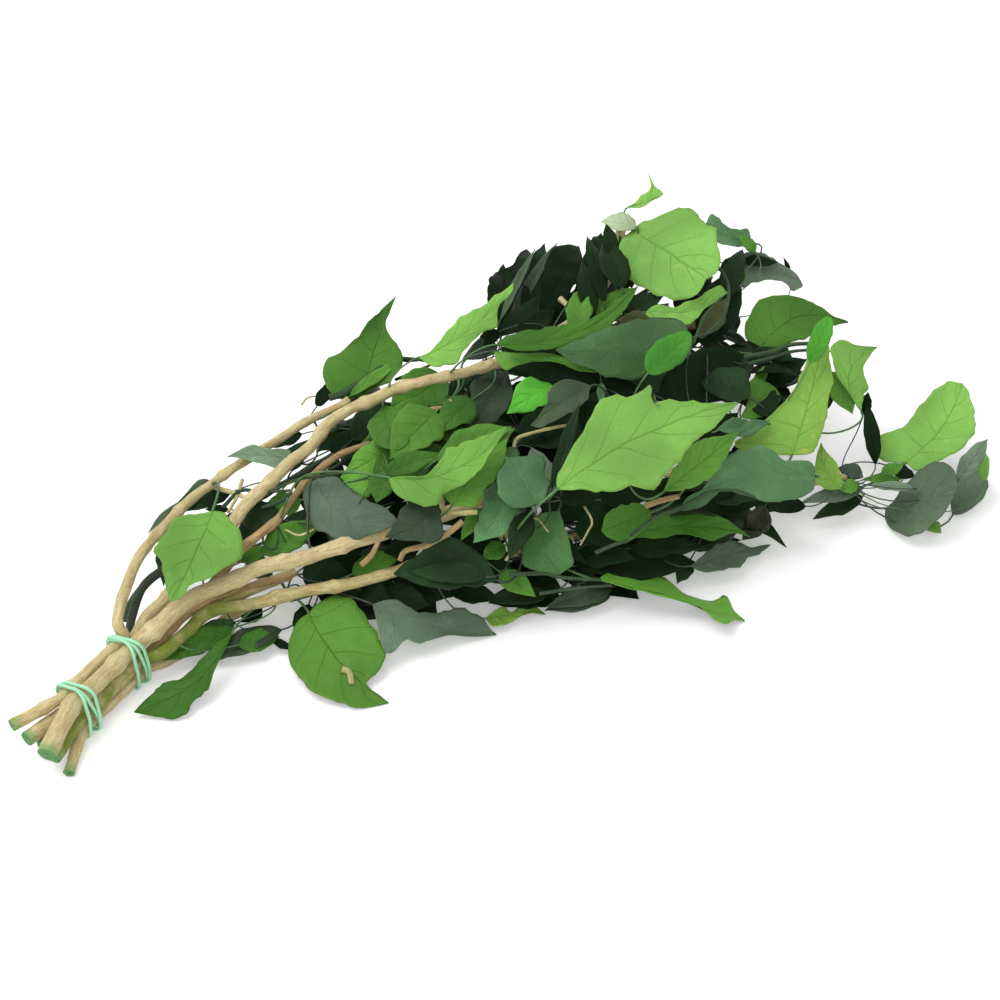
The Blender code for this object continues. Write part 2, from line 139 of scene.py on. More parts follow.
# The studio
CAMERA_TURN = -40.0
CAMERA_LIFT = 40.0
CAMERA_DISTANCE = 1.0                 # metres
LENS = 70.0
SENSOR_WIDTH = 36.0
AIM = Vector((0.0, 0.0, 45.33))       # where the camera looks, in the tables' coordinates
LAMPS = (                             # name, place in metres, size in metres, power in watts
    ("key_lamp", (-0.5, 0.5, 1.5), 1.2, 16.0),
    ("fill_lamp", (-0.9, -1.2, 1.1), 1.0, 6.0),
)
LAMP_TARGET = Vector((0.0, 0.0, 0.05))
AMBIENT = 0.7                         # brightness of the surroundings as they light the bunch
FLOOR_TONE = (0.9, 0.9, 0.9, 1.0)
FLOOR_GLOW = 0.25                     # light that only the camera and reflections see
FLOOR_FADE = (0.7, 1.8)               # metres from the bunch at which the floor turns to plain white
FLOOR_REACH = 4.0
WHITE = (1.0, 1.0, 1.0, 1.0)
BLACK = (0.0, 0.0, 0.0, 1.0)


@dataclass
class Stem:
    """A woody stem: across and high place it in the bundle, and the route leads on from the ties."""
    name: str
    radius: float
    end_radius: float
    cut: tuple          # along, across, high of the cut end, from the first tie
    seat: tuple         # across, high inside the ties
    route: tuple
    bark: str
    forks: tuple = ()


@dataclass
class Twig:
    """A side twig, cut stub, bare stalk or tendril."""
    name: str
    radius: float
    end_radius: float
    bark: str
    route: tuple


@dataclass
class Leaf:
    """One leaf: its blade runs from base to tip, and its petiole joins it to the named stem."""
    name: str
    stem: str
    base: tuple
    tip: tuple
    width: float
    roll: float           # lifts the right-hand edge
    tone: str
    fold: float = 8.0     # how far each half leans up from flat
    arch: float = 0.06    # rise of the midrib's middle, as a share of the length
    sway: float = 0.0     # sideways bow of the midrib, as a share of the length
    belly: float = 0.4    # where the blade is widest
    shoulder: float = 0.7  # low for a round base, high for a wedge-shaped one
    point: float = 1.1    # low for a blunt tip, high for a drawn-out one
    skew: float = 0.0     # positive where the right half is wider than the left
    reach: float = 24.0   # how far behind the blade its petiole looks for the stem
    cup: float = 0.0      # how far each half curves on up towards its margin
    curl: tuple = (0.0, 0.0)  # how far the outer third of the left and the right half rolls in
    wave: float = 2.0     # height of the waves along the margin
    light: float = 1.0    # brightness of this leaf among those of its tone: partly its own colour, partly painted shade and sheen
    petiole: tuple = ()   # points that the petiole passes
    left: tuple = ()      # the left margin's points: along from the base, and out from the midrib
    right: tuple = ()     # the same for the right margin


@dataclass
class Shoot:
    """A leafy side twig that fills the inside of the bunch."""
    name: str
    leaves: int
    size: float           # length of its leaves
    tone: str
    route: tuple


STEMS = (
    Stem("stem_arched", 3.1, 2.2, (-30, 13.5, 18), (5.4, 18.0),
         ((-190, 66, 29), (-174, 79, 37), (-155, 90, 42), (-128, 99, 46), (-100, 104, 49),
          (-72, 107, 52), (-48, 105, 56), (-20, 102, 60)),
         "tan"),
    Stem("stem_rear", 3.8, 2.4, (-29, 6.5, 11.6), (2.7, 11.2),
         ((-175, 65, 21), (-160, 65, 28), (-138, 68, 37), (-115, 73, 46), (-92, 78, 54),
          (-65, 82, 60), (-38, 87, 66), (-14, 84, 70), (18, 75, 72), (50, 66, 70),
          (80, 66, 69), (112, 70, 71), (146, 81, 77), (168, 94, 86), (180, 106, 92)),
         "tan",
         forks=(((112, 70, 71), (130, 58, 70), (150, 40, 68), (172, 22, 64)),)),
    Stem("stem_front", 4.6, 2.6, (-33, -9.5, 13.3), (-2.7, 18.1),
         ((-175, 52, 26), (-161, 53, 31), (-146, 50, 34), (-126, 45, 37), (-102, 34, 41),
          (-79, 23, 45), (-55, 12, 48), (-20, 3, 50), (15, -6, 50), (50, -14, 50),
          (85, -20, 50), (118, -30, 47), (150, -42, 43), (178, -52, 38)),
         "tan",
         forks=(((50, -14, 50), (72, -34, 48), (96, -52, 44), (125, -66, 40)),)),
    Stem("stem_mossy", 3.8, 2.4, (-28, -7, 5), (-5.2, 9.6),
         ((-180, 45, 15), (-163, 48, 17), (-149, 50, 20), (-135, 41, 22), (-112, 30, 25),
          (-90, 17, 27), (-70, 8, 29), (-45, 2, 31), (-20, -6, 32), (10, -16, 32)),
         "mossy",
         forks=(((-149, 50, 20), (-140, 49, 21), (-122, 47, 22), (-100, 43, 24)),)),
    Stem("stem_kinked", 2.9, 1.8, (-25, 2.5, 5.2), (0.0, 4.6),
         ((-178, 53, 13), (-160, 58, 18), (-142, 60, 26), (-124, 60, 36), (-110, 58, 43),
          (-98, 60, 44), (-86, 66, 46), (-70, 72, 50), (-50, 73, 54), (-31, 68, 57)),
         "russet"),
    Stem("stem_low", 2.7, 2.0, (-28, -16, -0.5), (-6.2, 2.7),
         ((-175, 49, 4), (-150, 52, 5), (-120, 50, 8), (-85, 36, 10), (-50, 16, 12),
          (-15, -6, 16), (20, -22, 20), (60, -40, 24), (100, -56, 26), (140, -72, 26),
          (172, -86, 24)),
         "tan"),
    Stem("stem_dark", 2.3, 1.6, (-20, 8, 4), (5.6, 5.3),
         ((-179, 75, 14), (-166, 85, 20), (-151, 87, 26), (-128, 87, 29), (-100, 92, 33),
          (-70, 96, 32), (-36, 98, 32), (0, 96, 34), (40, 96, 36), (80, 98, 36)),
         "shoot"),
)

LEAVES = (
    # The crown, at the far and upper side
    Leaf("leaf_01", "stem_rear", (172, 88, 96), (173, 29, 92), 50, -32, "pale", fold=3, arch=0.03, cup=6,
         light=0.93, left=((1, 6), (7, 13), (14, 23), (24, 28), (35, 26), (44, 25), (55, 16), (61, 8)),
         right=((0, 10), (12, 20), (27, 26), (43, 24), (56, 18), (62, 9))),
    Leaf("leaf_02", "stem_rear", (184, 105, 98), (202, 108, 112), 12, -20, "pale", fold=12, reach=4,
         light=1.25, sway=0.35, left=((1, 1), (10, 5), (17, 1)), right=((3, 3), (11, 2), (18, 7), (19, 2))),
    Leaf("leaf_03", "stem_rear", (243, 60, 72), (222, 79, 84), 24, 30, "teal", fold=14, light=1.25,
         sway=-0.13, left=((0, 5), (6, 4), (15, 8), (24, 6)), right=((5, 8), (14, 7), (22, 7), (29, 9))),
    Leaf("leaf_04", "stem_rear", (234, 58, 58), (268, 39, 42), 20, -40, "ash", fold=10, light=1.15,
         sway=-0.09, left=((0, 10), (9, 9), (20, 7), (31, 5), (38, 3)), right=((0, 11), (6, 9), (15, 7),
         (26, 6), (32, 10), (39, 5))),
    Leaf("leaf_05", "stem_rear", (87, 103, 56), (150, 154, 60), 34, -20, "dark", light=0.3, sway=-0.07,
         left=((14, 8), (30, 10), (45, 8), (56, 1), (71, 1)), right=((25, 6), (46, 9), (71, 7))),
    Leaf("leaf_06", "stem_rear", (84, 74, 71), (158, 117, 77), 28, -20, "ink", reach=10, light=0.68,
         left=((17, 3), (37, 9), (57, 12), (73, 10)), right=((21, 7), (44, 9), (67, 8))),
    Leaf("leaf_07", "stem_rear", (107, 69, 85), (167, 109, 86), 24, -25, "ink", light=0.8, sway=0.03,
         left=((9, 1), (35, 6), (58, 5)), right=((8, 7), (35, 5), (63, 3))),
    Leaf("leaf_08", "stem_rear", (138, 40, 80), (184, 23, 82), 18, -40, "pale", fold=6, sway=0.1,
         left=((6, 4), (15, 3), (27, 5), (37, 6), (45, 6)), right=((-2, 4), (10, 6), (24, 7), (32, 2),
         (40, 1))),
    Leaf("leaf_09", "stem_rear", (136, 2, 84), (69, 37, 88), 38, 38, "gloss", fold=-12, arch=0.03,
         light=0.84, sway=-0.06, left=((3, 9), (17, 12), (32, 15), (47, 15), (59, 10), (69, 5)),
         right=((4, 13), (18, 17), (35, 16), (53, 12), (67, 5))),
    # The ridge in the middle
    Leaf("leaf_10", "stem_low", (-3, -47, 84), (98, -69, 100), 50, -38, "pale", fold=2, arch=0.02, cup=4,
         light=0.89, sway=-0.06, left=((3, 5), (18, 13), (33, 21), (39, 24), (46, 24), (50, 21), (55, 19),
         (62, 20), (68, 22), (63, 13), (74, 10), (88, 4)), right=((14, 10), (27, 18), (33, 19), (37, 23),
         (42, 27), (50, 24), (65, 18), (73, 14), (85, 10), (95, 5))),
    Leaf("leaf_11", "stem_front", (47, -70, 70), (106, -64, 74), 28, -30, "fresh", fold=4, left=((10, 5),
         (22, 8), (34, 10), (46, 5)), right=((11, 7), (23, 9), (35, 8), (47, 3))),
    Leaf("leaf_12", "stem_front", (132, -96, 52), (72, -73, 60), 28, 35, "teal", fold=4, arch=0.03,
         light=1.17, sway=0.06, left=((4, 8), (13, 14), (28, 16), (41, 11), (53, 4)), right=((1, 7),
         (13, 7), (19, 10), (26, 14), (35, 14), (47, 13), (56, 7))),
    Leaf("leaf_13", "stem_rear", (16, 87, 80), (95, 102, 86), 20, -35, "pale", fold=4, arch=0.02,
         light=1.17, sway=0.07, left=((9, 1), (20, 5), (34, 8), (46, 8), (52, 5), (66, 4)), right=((5, 9),
         (16, 11), (28, 7), (40, 5), (51, 8), (62, 1), (76, 2))),
    Leaf("leaf_14", "stem_arched", (-9, 105, 56), (42, 140, 80), 42, -15, "fresh", fold=6, light=0.58,
         sway=-0.03, left=((-7, 11), (-3, 20), (5, 24), (15, 23), (21, 17), (31, 10), (42, 8), (50, 5),
         (59, 2)), right=((9, 11), (19, 17), (29, 16), (38, 8), (46, 1), (54, 1))),
    Leaf("leaf_15", "stem_rear", (47, 58, 90), (133, 42, 98), 22, -35, "fresh", fold=10, arch=0.03,
         light=0.56, sway=0.13, left=((8, 6), (22, 8), (35, 7), (52, 4), (66, 3), (78, 3)), right=((9, 4),
         (27, 5), (46, 7), (60, 6), (73, 4), (82, 2))),
    Leaf("leaf_16", "stem_rear", (52, 67, 78), (84, 20, 76), 20, -30, "fresh", fold=5, arch=0.02,
         light=1.03, sway=-0.02, left=((11, 1), (25, 3), (37, 3), (47, 2)), right=((4, 6), (9, 10), (16, 6),
         (26, 2), (38, 1), (48, 2))),
    Leaf("leaf_17", "stem_rear", (74, 38, 66), (34, 35, 64), 24, 25, "vivid", light=1.45, left=((11, 5),
         (20, 9), (30, 7), (36, 3)), right=((9, 3), (18, 8), (28, 7), (35, 3))),
    Leaf("leaf_18", "stem_rear", (65, 71, 56), (7, 38, 59), 30, 15, "steel", fold=12, light=1.08,
         sway=-0.02, left=((20, 9), (36, 11), (48, 9), (56, 4)), right=((9, 9), (28, 13), (42, 9),
         (57, 4))),
    Leaf("leaf_19", "stem_front", (68, 7, 82), (22, 2, 82), 26, 25, "steel", fold=10, reach=12, light=1.95,
         left=((11, 6), (23, 8), (34, 7), (43, 5)), right=((8, 6), (20, 9), (27, 8), (32, 4), (40, 1))),
    Leaf("leaf_20", "stem_front", (143, -70, 44), (196, -39, 88), 44, -8, "warm", fold=2, arch=0.02, cup=4,
         sway=0.02, left=((-3, 12), (-4, 25), (-1, 31), (8, 24), (17, 17), (28, 12), (42, 8), (56, 6),
         (68, 4)), right=((4, 10), (13, 12), (27, 11), (41, 10), (56, 6), (67, 3))),
    Leaf("leaf_21", "stem_rear", (186, -4, 58), (236, -23, 63), 32, -35, "fresh", reach=30, fold=3,
         arch=0.03, light=0.68, sway=-0.2, left=((-6, 8), (-1, 18), (7, 21), (18, 16), (31, 10), (41, 6),
         (47, 1)), right=((5, 7), (17, 12), (29, 13), (43, 6))),
    Leaf("leaf_22", "stem_front", (204, -65, 40), (227, -52, 66), 30, -10, "pale", fold=4, light=0.82,
         sway=-0.31, left=((9, 1), (15, 5), (22, 11), (31, 18), (36, 17), (35, 9), (36, 4)), right=((9, 8),
         (17, 10), (25, 5), (31, 3))),
    # The cluster over the forks of the stems
    Leaf("leaf_23", "stem_kinked", (-59, 15, 82), (7, 3, 88), 34, -30, "pale", fold=4, arch=0.02,
         light=0.74, petiole=((-78, 65, 60), (-71, 34, 80),), sway=0.15, left=((6, 1), (15, 1), (25, 5),
         (32, 11), (41, 10), (52, 7)), right=((-1, 7), (1, 13), (9, 16), (17, 15), (20, 10), (28, 9),
         (39, 8), (52, 3))),
    Leaf("leaf_24", "stem_front", (-37, -7, 66), (21, 13, 74), 28, -20, "fresh", reach=20, fold=6,
         light=0.88, sway=-0.02, left=((3, 9), (16, 11), (32, 9), (51, 5)), right=((6, 10), (17, 10),
         (31, 10), (43, 6), (48, 3))),
    Leaf("leaf_25", "stem_kinked", (38, 74, 54), (-1, 41, 58), 30, 10, "fresh", light=0.46, sway=0.02,
         left=((17, 5), (38, 8), (49, 8)), right=((17, 6), (33, 8), (44, 7), (49, 4))),
    Leaf("leaf_26", "stem_kinked", (-23, 57, 58), (-59, 57, 56), 24, 30, "fresh", fold=3, light=1.25,
         left=((8, 3), (19, 8), (31, 17), (35, 8)), right=((5, 8), (17, 8), (28, 4))),
    Leaf("leaf_27", "stem_rear", (-10, 85, 62), (-33, 44, 68), 26, -10, "fresh", light=0.58, left=((15, 7),
         (33, 10), (45, 6)), right=((12, 7), (28, 11), (42, 8))),
    Leaf("leaf_28", "stem_front", (-70, 62, 58), (-59, 7, 58), 34, -25, "slate", fold=-9, arch=0.02,
         light=1.3, sway=0.19, left=((10, 11), (21, 13), (33, 12), (44, 10)), right=((-3, 7), (2, 14),
         (16, 15), (30, 12), (43, 9), (52, 5))),
    Leaf("leaf_29", "stem_front", (-41, 1, 68), (-76, -3, 64), 20, 30, "slate", light=0.6, sway=-0.14,
         left=((7, 8), (16, 13), (27, 6)), right=((8, 7), (18, 12), (26, 7))),
    Leaf("leaf_30", "stem_front", (-6, -34, 66), (1, -5, 76), 30, -15, "teal", fold=2, arch=0.03, sway=0.02,
         left=((3, 14), (12, 17), (21, 13), (29, 3), (33, 1)), right=((2, 5), (10, 13), (21, 17),
         (29, 18))),
    Leaf("leaf_31", "stem_front", (1, 2, 58), (-35, -21, 50), 28, 15, "jade", fold=5, light=1.35,
         sway=-0.15, left=((14, 1), (17, 6), (16, 13), (26, 11), (35, 9), (40, 5)), right=((12, 9), (24, 9),
         (35, 6))),
    # Leaves of the lower stems, and those that rest on the surface
    Leaf("leaf_32", "stem_arched", (-126, 73, 60), (-171, 45, 44), 40, 20, "pale", fold=2, arch=0.02, cup=3,
         light=0.74, sway=-0.02, left=((-1, 6), (3, 11), (6, 16), (13, 20), (22, 22), (30, 16), (37, 10),
         (44, 5), (52, 4)), right=((6, 7), (10, 13), (21, 17), (34, 19), (38, 13), (45, 8))),
    Leaf("leaf_33", "stem_arched", (-103, 110, 42), (-147, 106, 34), 14, 60, "ash", light=1.2, sway=0.06,
         left=((6, 1), (17, 3), (28, 3), (37, 1)), right=((4, 4), (12, 4), (23, 2), (34, 3))),
    Leaf("leaf_34", "stem_arched", (-64, 85, 50), (-95, 107, 57), 20, 40, "ash", fold=6, light=1.55,
         sway=0.08, left=((8, 7), (16, 6), (24, 4), (31, 2)), right=((5, 5), (16, 4), (27, 5), (32, 3))),
    Leaf("leaf_35", "stem_mossy", (-108, 21, 16), (-107, -43, 1), 46, -12, "fresh", fold=3, arch=0.02,
         cup=3, light=0.76, sway=0.08, left=((-1, 7), (2, 16), (9, 23), (18, 25), (28, 24), (40, 22),
         (48, 14), (49, 7), (47, 4), (52, 1), (59, 1)), right=((0, 6), (4, 13), (14, 19), (23, 22),
         (30, 21), (40, 20), (49, 17), (58, 13), (63, 6))),
    Leaf("leaf_36", "stem_low", (-147, 31, 19), (-207, 29, 4), 24, 20, "fresh", fold=-8, light=0.44,
         sway=-0.14, left=((9, 1), (20, 3), (29, 7), (37, 7), (43, 10), (49, 11), (55, 6)), right=((13, 6),
         (24, 7), (34, 7), (45, 8), (54, 5))),
    Leaf("leaf_37", "stem_low", (-122, 26, 9), (-165, 38, 3), 14, 10, "slate", light=0.72),
    Leaf("leaf_38", "stem_low", (-82, 2, 20), (-36, -40, 1), 28, -25, "slate", light=1.75, sway=0.07,
         left=((10, 7), (18, 6), (29, 7), (41, 11), (51, 11)), right=((4, 10), (10, 23), (15, 20), (19, 13),
         (29, 11), (39, 4), (50, 2))),
    Leaf("leaf_39", "stem_low", (-36, -31, 6), (-7, -45, 1), 16, -10, "warm", light=0.98, left=((6, 3),
         (11, 4), (14, 1), (21, 5), (28, 4)), right=((3, 7), (11, 5), (20, 2))),
    Leaf("leaf_40", "stem_low", (15, -59, 22), (68, -114, 1), 28, 20, "fresh", fold=6, arch=0.02, sway=0.03,
         light=1.25, left=((8, 13), (19, 19), (28, 19), (36, 18), (45, 12), (57, 14), (65, 17), (70, 20),
         (72, 15), (74, 7)), right=((8, 1), (17, 1), (29, 1), (39, 1), (49, 1), (58, 1), (61, 10), (67, 14),
         (74, 3))),
    Leaf("leaf_41", "stem_mossy", (-31, -35, 32), (-70, -1, 36), 28, 25, "dark", fold=10, light=1.08,
         sway=0.09, left=((9, 8), (23, 13), (37, 11)), right=((6, 7), (15, 12), (25, 14), (36, 10),
         (45, 5))),
    Leaf("leaf_42", "stem_front", (49, -61, 50), (23, -52, 46), 22, 30, "fresh", light=0.62, left=((7, 7),
         (18, 10), (25, 6)), right=((4, 6), (13, 9), (21, 8))),
    Leaf("leaf_43", "stem_low", (41, -53, 32), (97, -87, 24), 26, -30, "fresh", light=0.55, sway=-0.08,
         left=((11, 5), (22, 7), (33, 7), (45, 7), (56, 4)), right=((13, 5), (29, 6), (42, 8), (56, 1))),
    Leaf("leaf_44", "stem_front", (17, -26, 46), (0, -47, 26), 34, -5, "gloss", light=1.5, sway=0.22,
         left=((1, 2), (14, 12), (27, 12)), right=((3, 10), (18, 11), (30, 14))),
    Leaf("leaf_45", "stem_low", (64, -77, 16), (120, -82, 2), 26, -30, "slate", light=1.22, left=((12, 5),
         (24, 7), (37, 5), (44, 1)), right=((7, 6), (23, 9), (36, 5), (46, 4))),
    Leaf("leaf_46", "stem_low", (216, -91, 14), (269, -82, 38), 46, -20, "pale", fold=3, arch=0.02, cup=3,
         light=0.97, sway=0.08, left=((-6, 9), (-4, 17), (4, 22), (11, 19), (18, 16), (31, 17), (43, 14),
         (53, 9)), right=((0, 8), (11, 11), (22, 15), (35, 17), (47, 12), (56, 5))),
    Leaf("leaf_47", "stem_low", (186, -104, 6), (206, -133, 29), 30, -20, "ash", reach=44, fold=3,
         arch=0.03, wave=0.6, light=0.75, sway=0.08, left=((7, 6), (15, 14), (24, 20), (33, 21), (41, 12)),
         right=((0, 8), (6, 16), (17, 20), (26, 17), (35, 12))),
    Leaf("leaf_48", "stem_low", (160, -92, 26), (165, -71, 42), 20, 10, "warm", reach=10, light=0.9,
         sway=-0.16, left=((3, 9), (10, 8), (20, 3)), right=((4, 5), (13, 6), (19, 5))),
    Leaf("leaf_49", "stem_front", (136, -38, 54), (171, -33, 50), 28, -25, "fresh", light=0.72, sway=-0.07,
         left=((11, 3), (23, 12), (31, 10), (36, 5)), right=((5, 7), (16, 9), (28, 6))),
    Leaf("leaf_50", "stem_front", (111, 1, 54), (180, -4, 50), 34, -35, "ink", reach=10, light=1.3,
         left=((11, 10), (24, 16), (40, 16), (59, 12)), right=((16, 9), (32, 14), (48, 17))),
    Leaf("leaf_51", "stem_dark", (110, 104, 20), (156, 128, 1), 36, 0, "ink"),
)

TWIGS = (
    Twig("fork_a", 1.3, 1, "tan", ((-106, 109, 42), (-102, 89, 47), (-102, 77, 50))),
    Twig("fork_b", 1.1, 0.8, "stalk", ((-112, 88, 44), (-101, 87, 50), (-94, 77, 52), (-83, 66, 54))),
    Twig("fork_c", 1, 0.8, "tan", ((-94, 96, 48), (-103, 87, 48), (-113, 81, 46))),
    Twig("stalk_23", 0.8, 0.6, "stalk", ((-95, 76, 50), (-82, 70, 56), (-77, 64, 60), (-72, 56, 64),
         (-63, 46, 68), (-59, 35, 72), (-54, 23, 74))),
    Twig("fork_d", 0.9, 0.7, "stalk", ((-98, 73, 46), (-90, 67, 50), (-84, 65, 54))),
    Twig("tendril_a", 0.6, 0.4, "stalk", ((-101, 64, 44), (-108, 58, 40), (-108, 53, 38), (-106, 50, 38),
         (-101, 54, 42), (-99, 59, 44))),
    Twig("tendril_b", 0.6, 0.4, "stalk", ((-98, 59, 44), (-98, 56, 40), (-99, 51, 38))),
    Twig("tendril_c", 0.6, 0.4, "tan", ((-96, 55, 42), (-93, 47, 42), (-84, 44, 44))),
    Twig("fork_e", 0.9, 0.7, "stalk", ((-117, 67, 30), (-106, 62, 34), (-101, 58, 36))),
    Twig("stalk_pale", 1, 0.7, "straw", ((12, 4, 66), (18, 9, 70), (23, 7, 72), (32, 2, 74),
         (43, -5, 76))),
    Twig("stalk_long", 2, 1.5, "stalk", ((-25, 113, 58), (-17, 109, 60), (0, 109, 63), (23, 113, 66))),
    Twig("stalk_side", 1, 0.7, "stalk", ((22, 110, 64), (26, 106, 64), (30, 100, 64))),
    Twig("stalk_low", 0.9, 0.7, "stalk", ((12, 103, 58), (23, 100, 60), (33, 97, 62))),
    Twig("tendril_d", 0.6, 0.4, "tan", ((-36, 124, 52), (-31, 125, 54), (-26, 123, 54))),
    Twig("crown_stalk", 0.9, 0.7, "stalk", ((189, 35, 90), (186, 26, 88), (182, 20, 86), (173, 12, 84),
         (162, 6, 82), (151, 4, 80), (146, 5, 78))),
    Twig("crown_twig", 0.9, 0.7, "stalk", ((138, 3, 78), (150, 10, 80), (160, 14, 84), (173, 17, 86))),
    Twig("twin_a", 1.3, 1, "stalk", ((158, -17, 72), (170, -25, 74), (183, -27, 74), (192, -33, 74))),
    Twig("twin_b", 1.1, 0.8, "stalk", ((157, -21, 70), (169, -27, 72), (181, -30, 72), (191, -36, 72))),
    Twig("hook_a", 1, 0.8, "stalk", ((8, -64, 48), (17, -67, 50), (24, -71, 52))),
    Twig("stalk_ridge", 1, 0.7, "stalk", ((27, -69, 52), (43, -70, 56), (55, -74, 58), (64, -76, 60),
         (72, -78, 62), (81, -87, 64), (83, -99, 66))),
    Twig("stalk_40", 1, 0.8, "stalk", ((-25, -37, 34), (-11, -48, 34), (-7, -55, 34), (9, -68, 32))),
    Twig("stalk_40b", 0.9, 0.7, "stalk", ((-17, -51, 26), (-2, -61, 28), (12, -73, 30))),
    Twig("rootlet_a", 0.7, 0.4, "straw", ((-24, -33, 40), (-13, -31, 46), (-1, -28, 52), (-1, -39, 50))),
    Twig("rootlet_b", 0.7, 0.4, "straw", ((23, -36, 56), (20, -48, 52), (15, -51, 50), (6, -55, 48))),
    Twig("stub_a", 1.5, 1.2, "russet", ((-84, 7, 44), (-78, 6, 48), (-72, 8, 52))),
    Twig("stub_b", 1.3, 1, "russet", ((1, 63, 66), (10, 56, 68), (14, 57, 70))),
    Twig("stub_c", 1.5, 1.3, "straw", ((-35, 4, 64), (-39, -3, 62), (-36, -9, 62), (-29, -17, 64))),
    Twig("stub_d", 1.5, 1.2, "russet", ((-36, -14, 60), (-46, -13, 56), (-57, -11, 54), (-66, -6, 52),
         (-71, -8, 50))),
    Twig("stub_e", 1.6, 1.4, "tan", ((107, 76, 84), (107, 68, 82))),
    Twig("stub_f", 2.6, 2.4, "tan", ((43, 68, 70), (51, 67, 72))),
    Twig("stub_g", 1.6, 1.3, "russet", ((43, -62, 58), (51, -66, 60), (58, -71, 62))),
    Twig("stem_side", 2.3, 1.8, "russet", ((-186, 48, 14), (-173, 52, 17), (-155, 56, 20), (-137, 52, 23),
         (-118, 46, 25), (-105, 39, 26))),
    Twig("bark_flake", 1.7, 1.3, "straw", ((-115, -16, 9), (-113, -19, 8), (-116, -25, 6))),
    Twig("shoot_tip", 1.5, 1.2, "shoot", ((-180, 79, 12), (-173, 85, 16), (-160, 88, 22),
         (-153, 86, 26))),
)
